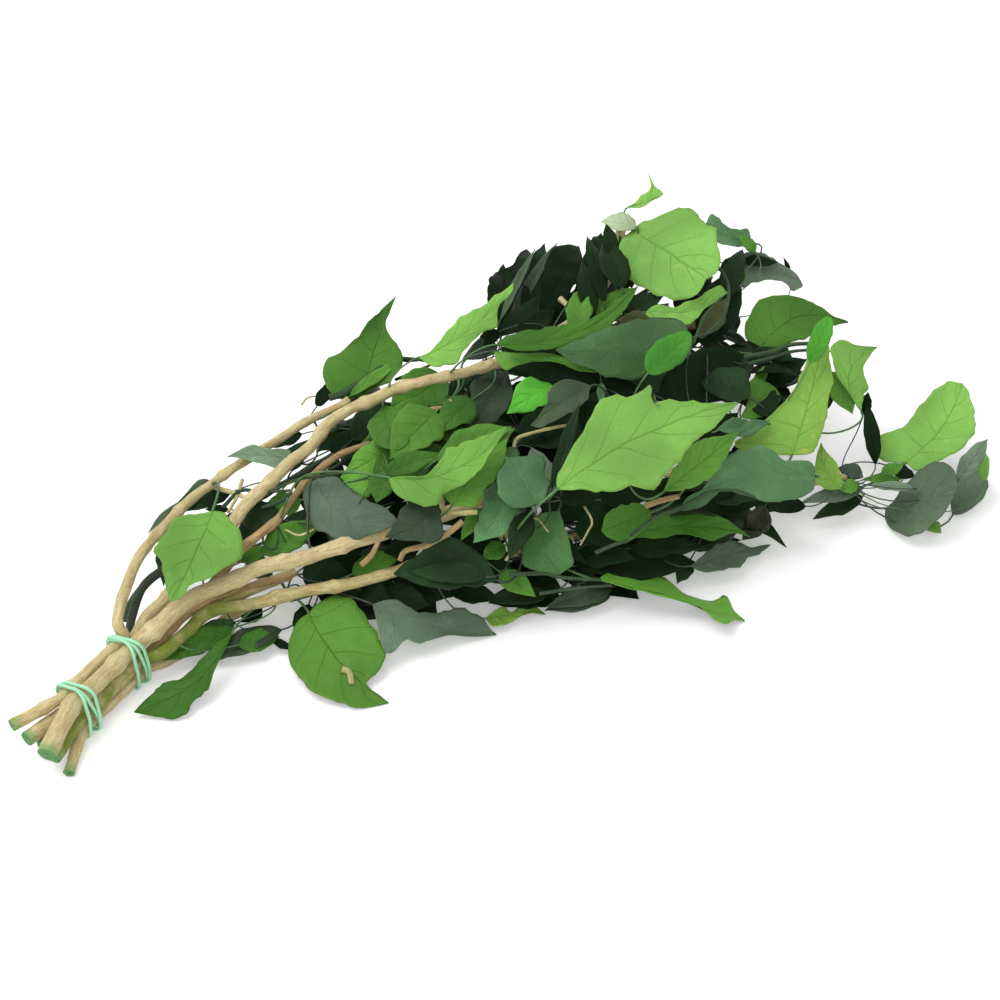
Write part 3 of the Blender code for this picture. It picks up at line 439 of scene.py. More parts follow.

# The small and half-hidden leaves in order: x, y and z of the base and of the tip, width, roll, tone, light.
# Where tone and light are left out, the leaf is an ink one of the usual brightness.
# A leaf's light is partly painted shade and sheen; the dimmest stand for the shade deep in the bunch.
SMALL_LEAVES = (
    (93, 103, 60, 160, 138, 68, 7, -13, "slate", 0.8), (85, 101, 66, 139, 134, 74, 5, -11, "ash", 0.75),
    (83, 100, 58, 135, 129, 64, 13, -13), (75, 89, 66, 120, 96, 72, 13, -21, "ink", 1.4),
    (73, 73, 70, 111, 83, 74, 14, -19), (68, 83, 66, 50, 92, 60, 12, 29, "slate", 0.8),
    (72, 86, 72, 60, 91, 66, 9, 28, "ink", 1.2), (155, 69, 74, 171, 104, 86, 14, 8, "slate", 0.62),
    (143, 61, 80, 169, 95, 90, 8, 1), (172, 85, 99, 167, 109, 94, 13, 29, "mist", 0.95),
    (135, 73, 72, 148, 96, 78, 8, 6, "mist", 1.1), (98, 56, 80, 143, 55, 86, 17, -24, "fresh", 0.92),
    (128, 48, 78, 156, 45, 80, 13, -26, "dark", 0.8), (131, 31, 84, 117, 39, 84, 8, 30, "olive", 1.2),
    (102, 69, 62, 161, 103, 66, 16, -13), (120, 74, 58, 179, 100, 66, 20, -15),
    (92, 75, 60, 131, 92, 64, 14, -16, "dark", 0.8), (130, 51, 94, 148, 86, 100, 16, 8, "dark", 0.62),
    (117, 51, 90, 148, 100, 96, 10, 5), (104, 47, 86, 132, 86, 92, 11, 3),
    (92, 46, 85, 116, 68, 90, 15, -5, "fresh", 0.85), (90, 105, 58, 125, 146, 64, 14, 0),
    (98, 95, 60, 156, 145, 66, 13, -6), (128, 56, 84, 98, 65, 82, 10, 28),
    (139, 68, 97, 156, 93, 104, 9, 3), (156, 13, 64, 209, 36, 70, 20, -15),
    (185, 27, 74, 224, 50, 80, 13, -12, "dark", 0.7), (152, 5, 66, 210, 43, 74, 15, -10),
    (150, 11, 74, 182, 21, 80, 12, -17, "olive", 0.95), (212, 55, 70, 220, 45, 76, 12, -33, "dark", 0.8),
    (219, 44, 62, 228, 55, 66, 7, 0, "fresh", 0.85), (235, 50, 74, 233, 62, 80, 8, 22, "fresh", 0.9),
    (233, 58, 64, 256, 50, 58, 7, -31, "ink", 1.2), (270, 52, 44, 270, 58, 52, 3, 18),
    (146, -34, 60, 138, -5, 58, 21, 28, "dark", 1.1), (147, 13, 64, 146, 33, 68, 16, 21),
    (92, -10, 88, 130, -2, 92, 17, -20, "vivid", 0.72), (49, 59, 85, 116, 27, 80, 12, -30, "dark", 0.9),
    (84, 17, 68, 57, 73, 64, 16, 29), (99, 2, 66, 71, 34, 62, 18, 30),
    (81, 13, 74, 68, -1, 72, 5, 2, "jade", 0.8), (171, -52, 82, 196, -41, 94, 11, -13, "vivid", 0.8),
    (208, -38, 50, 203, -60, 36, 16, -13, "fresh", 0.8), (213, -33, 60, 225, -37, 60, 8, -29, "mist", 1.1),
    (210, -62, 34, 218, -57, 42, 7, -8), (173, -7, 56, 194, -13, 58, 10, -28, "dark", 0.8),
    (164, -21, 52, 182, -14, 54, 6, -16, "fresh", 0.8), (174, -17, 46, 206, -21, 50, 15, -26),
    (184, -13, 42, 182, -34, 38, 12, -18), (132, -50, 58, 116, -39, 56, 10, 30, "jade", 0.82),
    (121, -50, 56, 142, -53, 58, 8, -26, "teal"), (109, -35, 50, 141, -31, 50, 14, -23),
    (216, -126, 24, 244, -121, 34, 11, -19, "ash", 1.15), (213, -129, 3, 256, -109, 12, 18, -14, "ash"),
    (232, -132, 18, 246, -116, 26, 7, -1, "pale", 0.95), (196, -126, 4, 196, -135, 3, 8, -21, "pale", 0.9),
    (177, -92, 26, 172, -79, 26, 9, 28, "slate"), (187, -97, 26, 203, -99, 26, 7, -27, "fresh", 0.8),
    (201, -92, 20, 210, -103, 14, 9, -30), (199, -101, 18, 180, -90, 20, 7, 30, "fresh"),
    (175, -95, 20, 139, -82, 20, 9, 29, "ash", 0.95), (176, -95, 14, 149, -85, 6, 11, 28, "dark"),
    (172, -94, 24, 161, -90, 24, 8, 29, "fresh", 1.05), (135, -90, 26, 117, -71, 24, 10, 30),
    (119, -76, 26, 106, -74, 8, 14, 26, "umber", 0.85), (86, -57, 32, 116, -76, 30, 13, -30),
    (70, -61, 40, 97, -64, 42, 8, -26, "jade", 0.85), (194, -87, 22, 213, -60, 40, 9, 2),
    (-32, 2, 40, -14, -20, 36, 16, -29), (70, 42, 50, 56, 1, 52, 18, -15),
    (-65, 20, 8, -30, -12, 6, 15, -30, "dark", 0.9), (76, -40, 30, 104, -42, 30, 20, -26),
    (75, -65, 14, 108, -68, 8, 12, -29, "slate", 0.8), (45, 30, 44, 43, -2, 40, 26, -19),
    (51, 21, 36, 54, -6, 34, 20, -24), (-22, -3, 22, -15, -33, 18, 18, -25, "dark", 0.9),
    (28, -57, 6, -7, -44, 3, 15, 28, "slate", 0.9), (-103, 28, 14, -120, 15, 6, 11, 7),
    (-78, 48, 16, -60, 33, 16, 16, -30), (69, -72, 14, 57, -75, 6, 9, 16, "dark", 0.9),
    (15, -42, 20, 70, -76, 14, 20, -30), (41, -55, 26, 75, -74, 22, 14, -30, "ink", 1.4),
    (82, -59, 8, 107, -72, 6, 9, -30), (26, -58, 10, -8, -46, 8, 14, 29, "slate", 0.8),
    (-6, -45, 16, -34, -28, 14, 12, 30, "dark", 0.8), (-23, -27, 28, -17, -48, 22, 12, -25, "fresh", 0.8),
    (-38, -34, 38, -65, -6, 38, 13, 30, "dark", 1.15), (-80, 21, 26, -56, 11, 32, 15, -28, "fresh", 0.7),
    (-97, 41, 22, -78, 27, 22, 22, -30), (-71, 8, 16, -55, -10, 12, 15, -30, "dark", 0.8),
    (-44, -13, 18, -27, -32, 14, 12, -30), (-80, 14, 20, -72, -1, 16, 14, -27),
    (18, -38, 40, 49, -53, 36, 22, -30), (9, -37, 14, 23, -61, 12, 10, -29),
    (36, -37, 50, 65, -50, 48, 15, -30), (12, -33, 60, 32, -41, 58, 12, -30),
    (-142, 38, 14, -182, 49, 8, 14, 27, "fresh", 0.55), (-145, 30, 10, -124, 25, 6, 12, -30, "fresh", 0.62),
    (-128, 25, 6, -122, 16, 3, 5, -28), (-138, 43, 12, -161, 51, 8, 10, 28, "jade", 0.7),
    (-102, 115, 36, -120, 106, 36, 7, 15), (-108, 89, 40, -117, 97, 40, 5, 30),
    (-111, 55, 34, -76, 51, 40, 16, -25, "fresh", 0.72), (-121, 59, 32, -104, 57, 34, 8, -26, "fresh", 0.7),
    (-93, 62, 42, -107, 82, 38, 17, 31, "dark", 0.9), (-79, 65, 46, -97, 74, 42, 14, 29, "fresh", 0.7),
    (-98, 102, 38, -123, 108, 34, 9, 27, "dark"), (-74, 86, 50, -53, 92, 56, 12, -17, "dark", 0.8),
    (3, 56, 68, -38, 42, 66, 27, 18, "fresh", 0.74), (7, 66, 62, -29, 65, 60, 22, 24, "fresh", 0.66),
    (26, 54, 66, -5, 45, 64, 19, 19, "fresh", 0.5), (-23, 22, 70, 17, 11, 78, 17, -27, "fresh", 0.85),
    (-45, 48, 56, -4, 39, 58, 24, -28, "fresh", 0.52), (-48, 64, 44, 20, 49, 50, 40, -27, "fresh", 0.5),
    (-47, 34, 66, -16, 27, 68, 13, -27, "fresh", 0.55), (34, 87, 58, -8, 83, 56, 27, 23, "fresh", 0.72),
    (-46, 35, 64, -60, 25, 60, 14, 8, "fresh", 0.6), (-30, 86, 48, 6, 92, 52, 20, -21, "dark", 0.8),
    (-42, 91, 44, -17, 86, 48, 12, -26), (45, 80, 62, 20, 67, 60, 11, 14, "dark", 0.9),
    (28, 17, 60, 57, 19, 66, 16, -22), (5, -32, 62, 22, 1, 68, 17, 8, "ash", 0.8),
    (1, -38, 76, 52, -2, 84, 7, -9, "dark", 0.85), (14, 4, 70, -2, -3, 68, 9, 15, "jade", 0.6),
    (-17, -6, 52, -37, -14, 48, 9, 15, "fresh", 0.8), (-17, -24, 40, -30, -22, 38, 11, 26, "fresh", 0.62),
    (-4, -28, 58, -27, -39, 46, 12, 12, "dark", 0.85), (-34, 7, 56, -56, 8, 52, 14, 24),
    (-47, 7, 36, -63, 17, 34, 14, 30), (-17, 105, 60, 21, 108, 64, 7, -23, "fresh", 0.92),
    (-30, 118, 52, -12, 124, 58, 8, -16), (22, 111, 62, 32, 102, 62, 3, -30, "dark"),
    (3, -46, 8, -27, -23, 5, 13, 30), (-1, 124, 22, -29, 124, 16, 16, 23),
    (-27, 140, 18, -46, 147, 14, 9, 28), (-84, 100, 14, -103, 92, 9, 12, 14, "dark", 0.8),
    (-131, 113, 16, -151, 89, 12, 12, 0, "dark", 0.8), (-119, 48, 8, -132, 48, 5, 10, 23),
    (192, -115, 24, 177, -97, 22, 6, 30, "ash", 1.5), (190, -43, 34, 207, -43, 40, 9, -22, "dark", 0.9),
)
# What sets some of them apart, by their numbers
SMALL_LEAF_SHAPES = {
    57: {"fold": 16}, 61: {"curl": (50, 0)}, 63: {"skew": 0.2}, 69: {"wave": 3}, 70: {"wave": 3},
    71: {"wave": 3}, 72: {"wave": 3}, 73: {"wave": 3}, 74: {"wave": 3},
    77: {"wave": 3}, 78: {"wave": 2.5}, 79: {"sway": -0.1}, 80: {"skew": 0.3}, 81: {"skew": 0.4},
    86: {"skew": 0.3, "point": 0.9}, 88: {"shoulder": 0.5, "point": 0.6}, 89: {"belly": 0.5, "arch": 0.03},
    93: {"shoulder": 0.5, "point": 0.5}, 105: {"skew": 0.3}, 116: {"skew": -0.3}, 122: {"wave": 3},
    124: {"wave": 3}, 128: {"wave": 2.5}, 132: {"belly": 0.55}, 135: {"shoulder": 0.5},
    160: {"shoulder": 0.5}, 165: {"point": 0.5}, 182: {"shoulder": 0.4, "point": 0.5},
}

SHOOTS = (
    Shoot("a", 8, 40, "ink", ((58, 86, 46), (96, 80, 52), (143, 65, 56), (183, 50, 60))),
    Shoot("b", 9, 40, "ink", ((41, 66, 38), (89, 54, 42), (134, 38, 44), (178, 19, 48), (196, 13, 46))),
    Shoot("c", 10, 40, "dark", ((13, 57, 30), (60, 30, 36), (108, 10, 38), (152, -7, 40),
          (181, -26, 40))),
    Shoot("d", 10, 40, "ink", ((-10, 38, 26), (33, 7, 30), (75, -10, 32), (115, -30, 34),
          (146, -52, 34))),
    Shoot("e", 10, 38, "dark", ((-31, 28, 20), (9, -6, 24), (44, -28, 26), (86, -45, 28),
          (116, -60, 28))),
    Shoot("f", 8, 34, "ink", ((-45, 18, 14), (-9, -10, 16), (28, -32, 18), (60, -43, 20), (78, -47, 20))),
    Shoot("g", 5, 24, "dark", ((-50, 21, 10), (-15, -2, 10), (20, -25, 10), (51, -45, 11))),
    Shoot("h", 8, 34, "dark", ((-61, 103, 26), (-43, 90, 32), (-20, 86, 36), (11, 72, 42), (38, 70, 44))),
    Shoot("i", 8, 36, "ink", ((-88, 85, 14), (-59, 70, 18), (-30, 56, 22), (3, 46, 28))),
    Shoot("j", 5, 30, "ink", ((-30, 107, 42), (-2, 99, 48), (19, 90, 50))),
    Shoot("k", 6, 32, "ink", ((158, 73, 62), (183, 67, 68), (180, 47, 66), (169, 27, 58))),
    Shoot("l", 5, 32, "ink", ((163, 53, 50), (164, 5, 48), (167, -27, 44))),
    Shoot("m", 6, 34, "dark", ((-115, 87, 10), (-98, 70, 12), (-73, 51, 14), (-47, 34, 16))),
    Shoot("n", 5, 28, "ink", ((-104, 44, 6), (-85, 35, 8), (-54, 16, 10))),
    Shoot("p", 4, 20, "dark", ((82, -58, 16), (111, -62, 20), (133, -71, 22))),
    Shoot("r", 6, 54, "ink", ((-74, 77, 8), (-34, 59, 12), (0, 42, 18), (35, 25, 24))),
    Shoot("s", 6, 52, "ink", ((-42, 84, 28), (3, 70, 34), (42, 50, 40), (72, 35, 44))),
    Shoot("t", 5, 52, "ink", ((24, -5, 8), (59, -21, 12), (95, -37, 15))),
)


# ---------------------------------------------------------------- paths and tubes

def bundle_point(along, across, high):
    """A point of the tied bundle, counted from the foot of the first tie."""
    heading = math.radians(TIE_HEADING)
    x = TIE_FOOT[0] + along * math.cos(heading) - across * math.sin(heading)
    y = TIE_FOOT[1] + along * math.sin(heading) + across * math.cos(heading)
    return Vector((x, y, high + BUNDLE_LIFT))


def smooth_path(points, step):
    """Points about one step apart on a Catmull-Rom curve through the given points."""
    points = [Vector(p) for p in points]
    ends = [2 * points[0] - points[1]] + points + [2 * points[-1] - points[-2]]
    path = []
    for a, b, c, d in zip(ends, ends[1:], ends[2:], ends[3:]):
        pieces = max(1, round((c - b).length / step))
        for i in range(pieces):
            t = i / pieces
            path.append(0.5 * (2 * b + (c - a) * t + (2 * a - 5 * b + 4 * c - d) * t * t
                               + (3 * b - a - 3 * c + d) * t * t * t))
    return path + [points[-1]]


def tangents(path, closed=False):
    """The direction of the path at each of its points."""
    last = len(path) - 1
    found = []
    for i in range(len(path)):
        before = path[i - 1] if closed or i else path[0]
        after = path[(i + 1) % len(path)] if closed or i < last else path[last]
        found.append((after - before).normalized())
    return found


def carried_frames(directions, side):
    """Side and top vectors that follow the directions without spinning about them."""
    frames = []
    for direction in directions:
        side = (side - direction * side.dot(direction)).normalized()
        frames.append((side, side.cross(direction)))
    return frames


def walked(path):
    """The distance along the path to each of its points."""
    steps = [0.0]
    for a, b in zip(path, path[1:]):
        steps.append(steps[-1] + (b - a).length)
    return steps


def smooth_step(low, high, value):
    """From 0 at low to 1 at high, with level ends."""
    t = min(1.0, max(0.0, (value - low) / (high - low)))
    return t * t * (3 - 2 * t)


def bump(distance, width):
    """A bell-shaped bump of height 1."""
    return math.exp(-(distance / width) ** 2)


def lifted(point, height):
    """The point, no lower than the given height."""
    return Vector((point.x, point.y, max(point.z, height)))


def add_object(name, data):
    """A new object of the scene."""
    thing = bpy.data.objects.new(name, data)
    bpy.context.scene.collection.objects.link(thing)
    return thing


def circle_grain(turn, radius, along):
    """Where a point of a tube lies in its straightened grain."""
    return math.cos(turn) * radius, math.sin(turn) * radius, along


class Shell:
    """Collects the points and faces of one piece, with a leaf map and a grain for its materials."""

    def __init__(self):
        self.points = []
        self.grain = []
        self.light = []
        self.faces = []
        self.slots = []
        self.maps = []

    def ring(self, points, grain, light=1.0):
        """Adds a ring of points and returns their numbers."""
        start = len(self.points)
        self.points += points
        self.grain += grain
        self.light += [light] * len(points)
        return list(range(start, start + len(points)))

    def face(self, corners, slot, uv=None):
        """Adds a face with its material's number and its places on the leaf map."""
        self.faces.append(corners)
        self.slots.append(slot)
        self.maps += uv or [(0.5, 0.5)] * len(corners)

    def bridge(self, ring, following, slot):
        """A belt of faces between two rings."""
        count = len(ring)
        for i in range(count):
            j = (i + 1) % count
            self.face((ring[i], ring[j], following[j], following[i]), slot)

    def tube(self, rings, slot):
        """Belts of faces along a row of rings."""
        for ring, following in zip(rings, rings[1:]):
            self.bridge(ring, following, slot)

    def cap(self, ring, slot, outward):
        """Closes a tube's end."""
        self.face(tuple(ring) if outward else tuple(reversed(ring)), slot)

    def build(self, name, materials):
        """Makes the piece and lets it ride on the bunch."""
        mesh = bpy.data.meshes.new(name)
        places = [(lifted(point, TABLE) - ORIGIN) * MM for point in self.points]
        mesh.from_pydata(places, [], self.faces)
        for material in materials:
            mesh.materials.append(material)
        mesh.polygons.foreach_set("material_index", self.slots)
        leaf_map = mesh.uv_layers.new(name="LeafMap")
        leaf_map.uv.foreach_set("vector", [value for uv in self.maps for value in uv])
        grain = mesh.attributes.new("Grain", "FLOAT_VECTOR", "POINT")
        grain.data.foreach_set("vector", [value for point in self.grain for value in point])
        mesh.attributes.new("Light", "FLOAT", "POINT").data.foreach_set("value", self.light)
        mesh.shade_smooth()
        mesh.update()
        piece = add_object(name, mesh)
        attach(piece, BODY)
        return piece


# ---------------------------------------------------------------- stems

def stem_path(stem):
    """The stem's centre line from its cut end."""
    bound = (-TIE_MARGIN, 0, TIE_SPACING / 2, TIE_SPACING, TIE_SPACING + TIE_MARGIN)
    ties = [bundle_point(*stem.cut)] + [bundle_point(along, *stem.seat) for along in bound]
    return smooth_path(ties + [Vector(p) for p in stem.route], BARK_STEP)


def wobbled(path, dice):
    """The path with the small crooks of real wood, none at its start."""
    shift = dice.uniform(0, 100)
    steps = walked(path)
    return [point + STEM_WOBBLE * smooth_step(0, WOBBLE_START, step - STRAIGHT_PART) * crook(step, shift)
            for point, step in zip(path, steps)]


def crook(step, shift):
    """How far the wood strays at this step; it is the same at every run, unlike noise.noise_vector."""
    return Vector([noise.noise(Vector((step * WOBBLE_PACE, shift, 20 * axis))) for axis in range(3)])


def even_taper(path, radius, end_radius):
    """The radius at each point of the path."""
    steps = walked(path)
    return [radius + (end_radius - radius) * step / steps[-1] for step in steps]


def fork_taper(stem, route):
    """The path and the radii of a side branch, thinner than the stem where it leaves it."""
    trunk = stem_path(stem)
    radii = even_taper(trunk, stem.radius, stem.end_radius)
    start = Vector(route[0])
    nearest = min(range(len(trunk)), key=lambda i: (trunk[i] - start).length)
    path = smooth_path(route, BARK_STEP)
    return path, even_taper(path, radii[nearest] * FORK_SHARE, stem.end_radius)


def knots_along(length, dice):
    """Where the stem's leaf scars swell it."""
    places = []
    place = dice.uniform(*FIRST_SCAR)
    while place < length:
        places.append((place, dice.uniform(*SCAR_HEIGHT)))
        place += dice.uniform(*SCAR_GAP)
    return places


def barked_tube(shell, path, radii, dice, lumps=1.0, cut_depth=0.4, dyed=0.0):
    """A branch with ridges, dents and swollen leaf scars, and a wood face at each end.

    The dye has crept up a stem's cut end; a side branch that is not dyed has none.
    """
    steps = walked(path)
    knots = knots_along(steps[-1], dice)
    seed = dice.uniform(0, 100)
    rings = []
    frames = carried_frames(tangents(path), UP)
    for point, radius, step, (side, top) in zip(path, radii, steps, frames):
        swell = sum(height * bump(step - place, SCAR_WIDTH)
                    - SCAR_DEPTH * bump(step - place - SCAR_SHIFT, SCAR_GROOVE) for place, height in knots)
        points, grain = [], []
        for i in range(BARK_SIDES):
            turn = 2 * math.pi * i / BARK_SIDES
            across, up = math.cos(turn), math.sin(turn)
            ridge = noise.noise(Vector((across * 2.6 + seed, up * 2.6, step * 0.05)))
            dent = noise.noise(Vector((across * 0.9, up * 0.9 + seed, step * 0.11)))
            crack = noise.noise(Vector((across * 5, up * 5 - seed, step * 0.35)))
            height = radius * (1 + swell * (1 + 0.5 * dent))
            height += lumps * (0.22 * ridge + 0.5 * dent + 0.12 * crack)
            points.append(point + (side * across + top * up) * max(height, 0.3 * radius))
            grain.append((across * radius, up * radius, step + seed * 10))
        rings.append(shell.ring(points, grain, 1 - dyed * bump(step, DYE_REACH)))
    shell.tube(rings, 0)
    wood_face(shell, path[0], path[0] - path[1], rings[0], cut_depth, True)
    wood_face(shell, path[-1], path[-1] - path[-2], rings[-1], cut_depth, False)


def wood_face(shell, centre, outward, ring, depth, first):
    """The cut end of a branch: a rim, and wood that dips to the pith."""
    outward = outward.normalized()
    previous = ring
    for share, dip in CUT_FACE:
        points = [centre + (shell.points[i] - centre) * share - outward * dip * depth for i in ring]
        grain = [(shell.grain[i][0] * share, shell.grain[i][1] * share, shell.grain[i][2]) for i in ring]
        inner = shell.ring(points, grain)
        if first:
            shell.bridge(inner, previous, 1)
        else:
            shell.bridge(previous, inner, 1)
        previous = inner
    shell.cap(previous, 1, outward=not first)


def make_stem(stem):
    """One woody stem with its side branches."""
    dice = random.Random(stem.name)
    shell = Shell()
    path = wobbled(stem_path(stem), dice)
    barked_tube(shell, path, even_taper(path, stem.radius, stem.end_radius), dice, dyed=1.0)
    for route in stem.forks:
        barked_tube(shell, *fork_taper(stem, route), dice)
    piece = shell.build(f"bark_{stem.name}", [BARKS[stem.bark], CUT_WOOD])
    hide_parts(stem.name)


def make_twig(twig):
    """A thin side branch or stalk."""
    dice = random.Random(twig.name)
    path = smooth_path(twig.route, BARK_STEP)
    shell = Shell()
    barked_tube(shell, path, even_taper(path, twig.radius, twig.end_radius), dice,
                lumps=min(0.8, twig.radius * TWIG_LUMPS), cut_depth=min(0.4, twig.radius * 0.15))
    shell.build(twig.name, [BARKS[twig.bark], BARKS[twig.bark]])


# ---------------------------------------------------------------- ties

def bundle_hull():
    """The taut line about the stems at a tie: points with the direction that is outward at each."""
    seats = [(*stem.seat, stem.radius) for stem in STEMS]
    hull = []
    for degree in range(0, 360, 3):
        out = (math.cos(math.radians(degree)), math.sin(math.radians(degree)))
        across, high, radius = max(seats, key=lambda seat: seat[0] * out[0] + seat[1] * out[1] + seat[2])
        hull.append((across + radius * out[0], high + radius * out[1], out))
    return hull


def even_hull(hull, count):
    """The hull's line again, in evenly spaced points."""
    closed = hull + hull[:1]
    lengths = [math.dist(a[:2], b[:2]) for a, b in zip(closed, closed[1:])]
    spacing = sum(lengths) / count
    found = []
    passed = 0.0
    for a, b, length in zip(closed, closed[1:], lengths):
        while len(found) < count and len(found) * spacing < passed + length:
            t = (len(found) * spacing - passed) / length
            out = (a[2][0] + (b[2][0] - a[2][0]) * t, a[2][1] + (b[2][1] - a[2][1]) * t)
            found.append((a[0] + (b[0] - a[0]) * t, a[1] + (b[1] - a[1]) * t, out))
        passed += length
    return found


def make_tie(name, node, along):
    """A rubber band wound three times about the bundle, flattened where it is stretched."""
    dice = random.Random(name)
    phase_shift = dice.uniform(0, 6)
    hull = even_hull(bundle_hull(), TURN_STEPS)
    steps = STRAND_TURNS * TURN_STEPS
    path = []
    for i in range(steps):
        across, high, out = hull[i % TURN_STEPS]
        phase = 2 * math.pi * i / steps
        offset = SEAT_GAP + STRAND_RADIUS + STRAND_LIFT * (1 + math.sin(phase))
        gathered = out[0] * STRAND_GATHER[0] + out[1] * STRAND_GATHER[1]
        shift = STRAND_FAN * (1 - GATHERED_SHARE * gathered) * math.cos(phase)
        shift += STRAND_WANDER * math.sin(phase * 5 + phase_shift)
        path.append(bundle_point(along + shift, across + offset * out[0], high + offset * out[1]))
    heading = math.radians(TIE_HEADING)
    axis = Vector((math.cos(heading), math.sin(heading), 0.0))
    shell = Shell()
    rings = []
    for i, (point, direction) in enumerate(zip(path, tangents(path, closed=True))):
        side = (axis - direction * axis.dot(direction)).normalized()
        top = side.cross(direction)
        points, grain = [], []
        for k in range(STRAND_SIDES):
            turn = 2 * math.pi * k / STRAND_SIDES
            points.append(point + side * math.cos(turn) * STRAND_WIDTH / 2
                          + top * math.sin(turn) * STRAND_RADIUS)
            grain.append(circle_grain(turn, 1.0, i * STRAND_STEP))
        rings.append(shell.ring(points, grain))
    shell.tube(rings + rings[:1], 0)
    piece = shell.build(name, [RUBBER])
    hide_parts(node)


# ---------------------------------------------------------------- leaves

def blade_frame(leaf):
    """The direction from the blade's base to its tip, its right-hand side and its upper side."""
    forward = (Vector(leaf.tip) - Vector(leaf.base)).normalized()
    side = forward.cross(UP).normalized()
    top = side.cross(forward)
    roll = math.radians(leaf.roll)
    return (forward, side * math.cos(roll) + top * math.sin(roll),
            top * math.cos(roll) - side * math.sin(roll))


def blade_half_width(leaf, s):
    """Half the blade's width at the share s of its length, where it has no outline of its own."""
    if s < leaf.belly:
        return leaf.width / 2 * (1 - (1 - s / leaf.belly) ** 2) ** leaf.shoulder
    return leaf.width / 2 * (1 - ((s - leaf.belly) / (1 - leaf.belly)) ** TIP_CURVE) ** leaf.point


def blade_point(leaf, s, out, lift):
    """The point at the share s of the midrib, out to the right of it and lifted above it."""
    forward, side, top = blade_frame(leaf)
    base, tip = Vector(leaf.base), Vector(leaf.tip)
    length = (tip - base).length
    inner = min(1.0, max(0.0, s))
    bow = 4 * inner * (1 - inner) * length
    middle = base + forward * length * s + top * (leaf.arch * bow) + side * (leaf.sway * bow)
    return middle + side * out + top * lift


def spread(path, shares):
    """The points at the given shares of the path's length."""
    steps = walked(path)
    found = []
    i = 0
    for share in shares:
        place = share * steps[-1]
        while i < len(path) - 2 and steps[i + 1] < place:
            i += 1
        found.append(path[i].lerp(path[i + 1], (place - steps[i]) / max(1e-6, steps[i + 1] - steps[i])))
    return found


def margin(leaf, hand, shares, seed):
    """One margin of the flat blade: along, as a share of the length, and out, for each station."""
    length = (Vector(leaf.tip) - Vector(leaf.base)).length
    outline = leaf.left if hand < 0 else leaf.right
    if outline:
        drawn = [(*place, 0.0) for place in ((0.0, 0.0), *outline, (length, 0.0))]
        path = smooth_path(drawn, MARGIN_STEP)
        path = spread(path, [0.006 + 0.988 * s for s in shares])
        return [(place.x / length, place.y + raggedness(place, hand, seed)) for place in path]
    line = []
    for s in shares:
        reach = blade_half_width(leaf, min(s, 0.9995)) * (1 + hand * leaf.skew)
        reach *= 1 + 0.16 * noise.noise(Vector((s * 7, hand * 3, seed * 50)))
        line.append((s, max(reach, LEAST_HALF_WIDTH)))
    return line


def raggedness(place, hand, seed):
    """How far a drawn margin strays outward at this place; less where the blade is narrow."""
    spot = Vector((place.x * RAGGED_PACE, hand * 3, seed * 50))
    return RAGGEDNESS * min(1.0, place.y / 8) * (noise.noise(spot) + 0.5 * noise.noise(spot * 2.3))


def vein_distance(s, across):
    """From 0 on a side vein to 0.5 halfway between two of them."""
    phase = s * VEIN_PAIRS - across ** VEIN_CURVE * VEIN_SLANT
    return abs(phase - round(phase))


def blade_row(leaf, s, edges, columns, seed):
    """The blade's points along one station, from the left margin to the right."""
    swing = math.sin(math.pi * (0.04 + 0.9 * s)) ** 0.5
    halves = {}
    for hand in (-1, 1):
        edge, reach = edges[hand]
        curl = leaf.curl[0] if hand < 0 else leaf.curl[1]
        out = lift = 0.0
        half = []
        for column in range(1, columns + 1):
            t = column / columns
            lean = math.radians(leaf.fold + leaf.cup * t + curl * smooth_step(0.45, 1.0, t) * swing)
            out += reach / columns * math.cos(lean)
            lift += abs(reach) / columns * math.sin(lean)
            ripple = waves(leaf, s, hand, seed) * swing * t * t
            quilt = QUILTING * smooth_step(0, 0.5, vein_distance(s, t)) * (1 - t) * swing
            half.append(blade_point(leaf, s + (edge - s) * t, hand * out, lift + ripple + quilt))
        halves[hand] = half
    row = list(reversed(halves[-1])) + [blade_point(leaf, s, 0, 0)] + halves[1]
    return [lifted(point + UP * dents(point, seed) * swing, BLADE_REST) for point in row]


def waves(leaf, s, hand, seed):
    """Height of the uneven waves along a margin; a narrow blade has lower ones."""
    spot = Vector((RIPPLES * s, seed * 40, 3 * hand))
    return leaf.wave * min(1.0, leaf.width / 26) * 2.2 * noise.noise(spot)


def dents(point, seed):
    """Height of a blade's dents at a point."""
    place = point + Vector((seed * 10, 0, 0))
    return CRUMPLE * (1.6 * noise.noise(place * 0.045) + 0.7 * noise.noise(place * 0.12))


def fineness(leaf):
    """How many stations a blade has, and how many columns on each side of its midrib."""
    return FINE_BLADE if leaf.left or leaf.width > WIDE_BLADE else SIMPLE_BLADE


def blade_stations(count):
    """Shares of the blade's length, closer together at its ends."""
    shares = [i / count for i in range(count + 1)]
    return [0.45 * s + 0.55 * (0.5 - 0.5 * math.cos(math.pi * s)) for s in shares]


def row_normals(rows, i):
    """The blade's normals at the points of one station."""
    row = rows[i]
    before, after = rows[max(i - 1, 0)], rows[min(i + 1, len(rows) - 1)]
    found = []
    for k in range(len(row)):
        left, right = row[max(k - 1, 0)], row[min(k + 1, len(row) - 1)]
        found.append((right - left).cross(after[k] - before[k]).normalized())
    return found


def square_of(sheet, i, k):
    """The four corners of one square of a sheet."""
    return sheet[i][k], sheet[i][k + 1], sheet[i + 1][k + 1], sheet[i + 1][k]


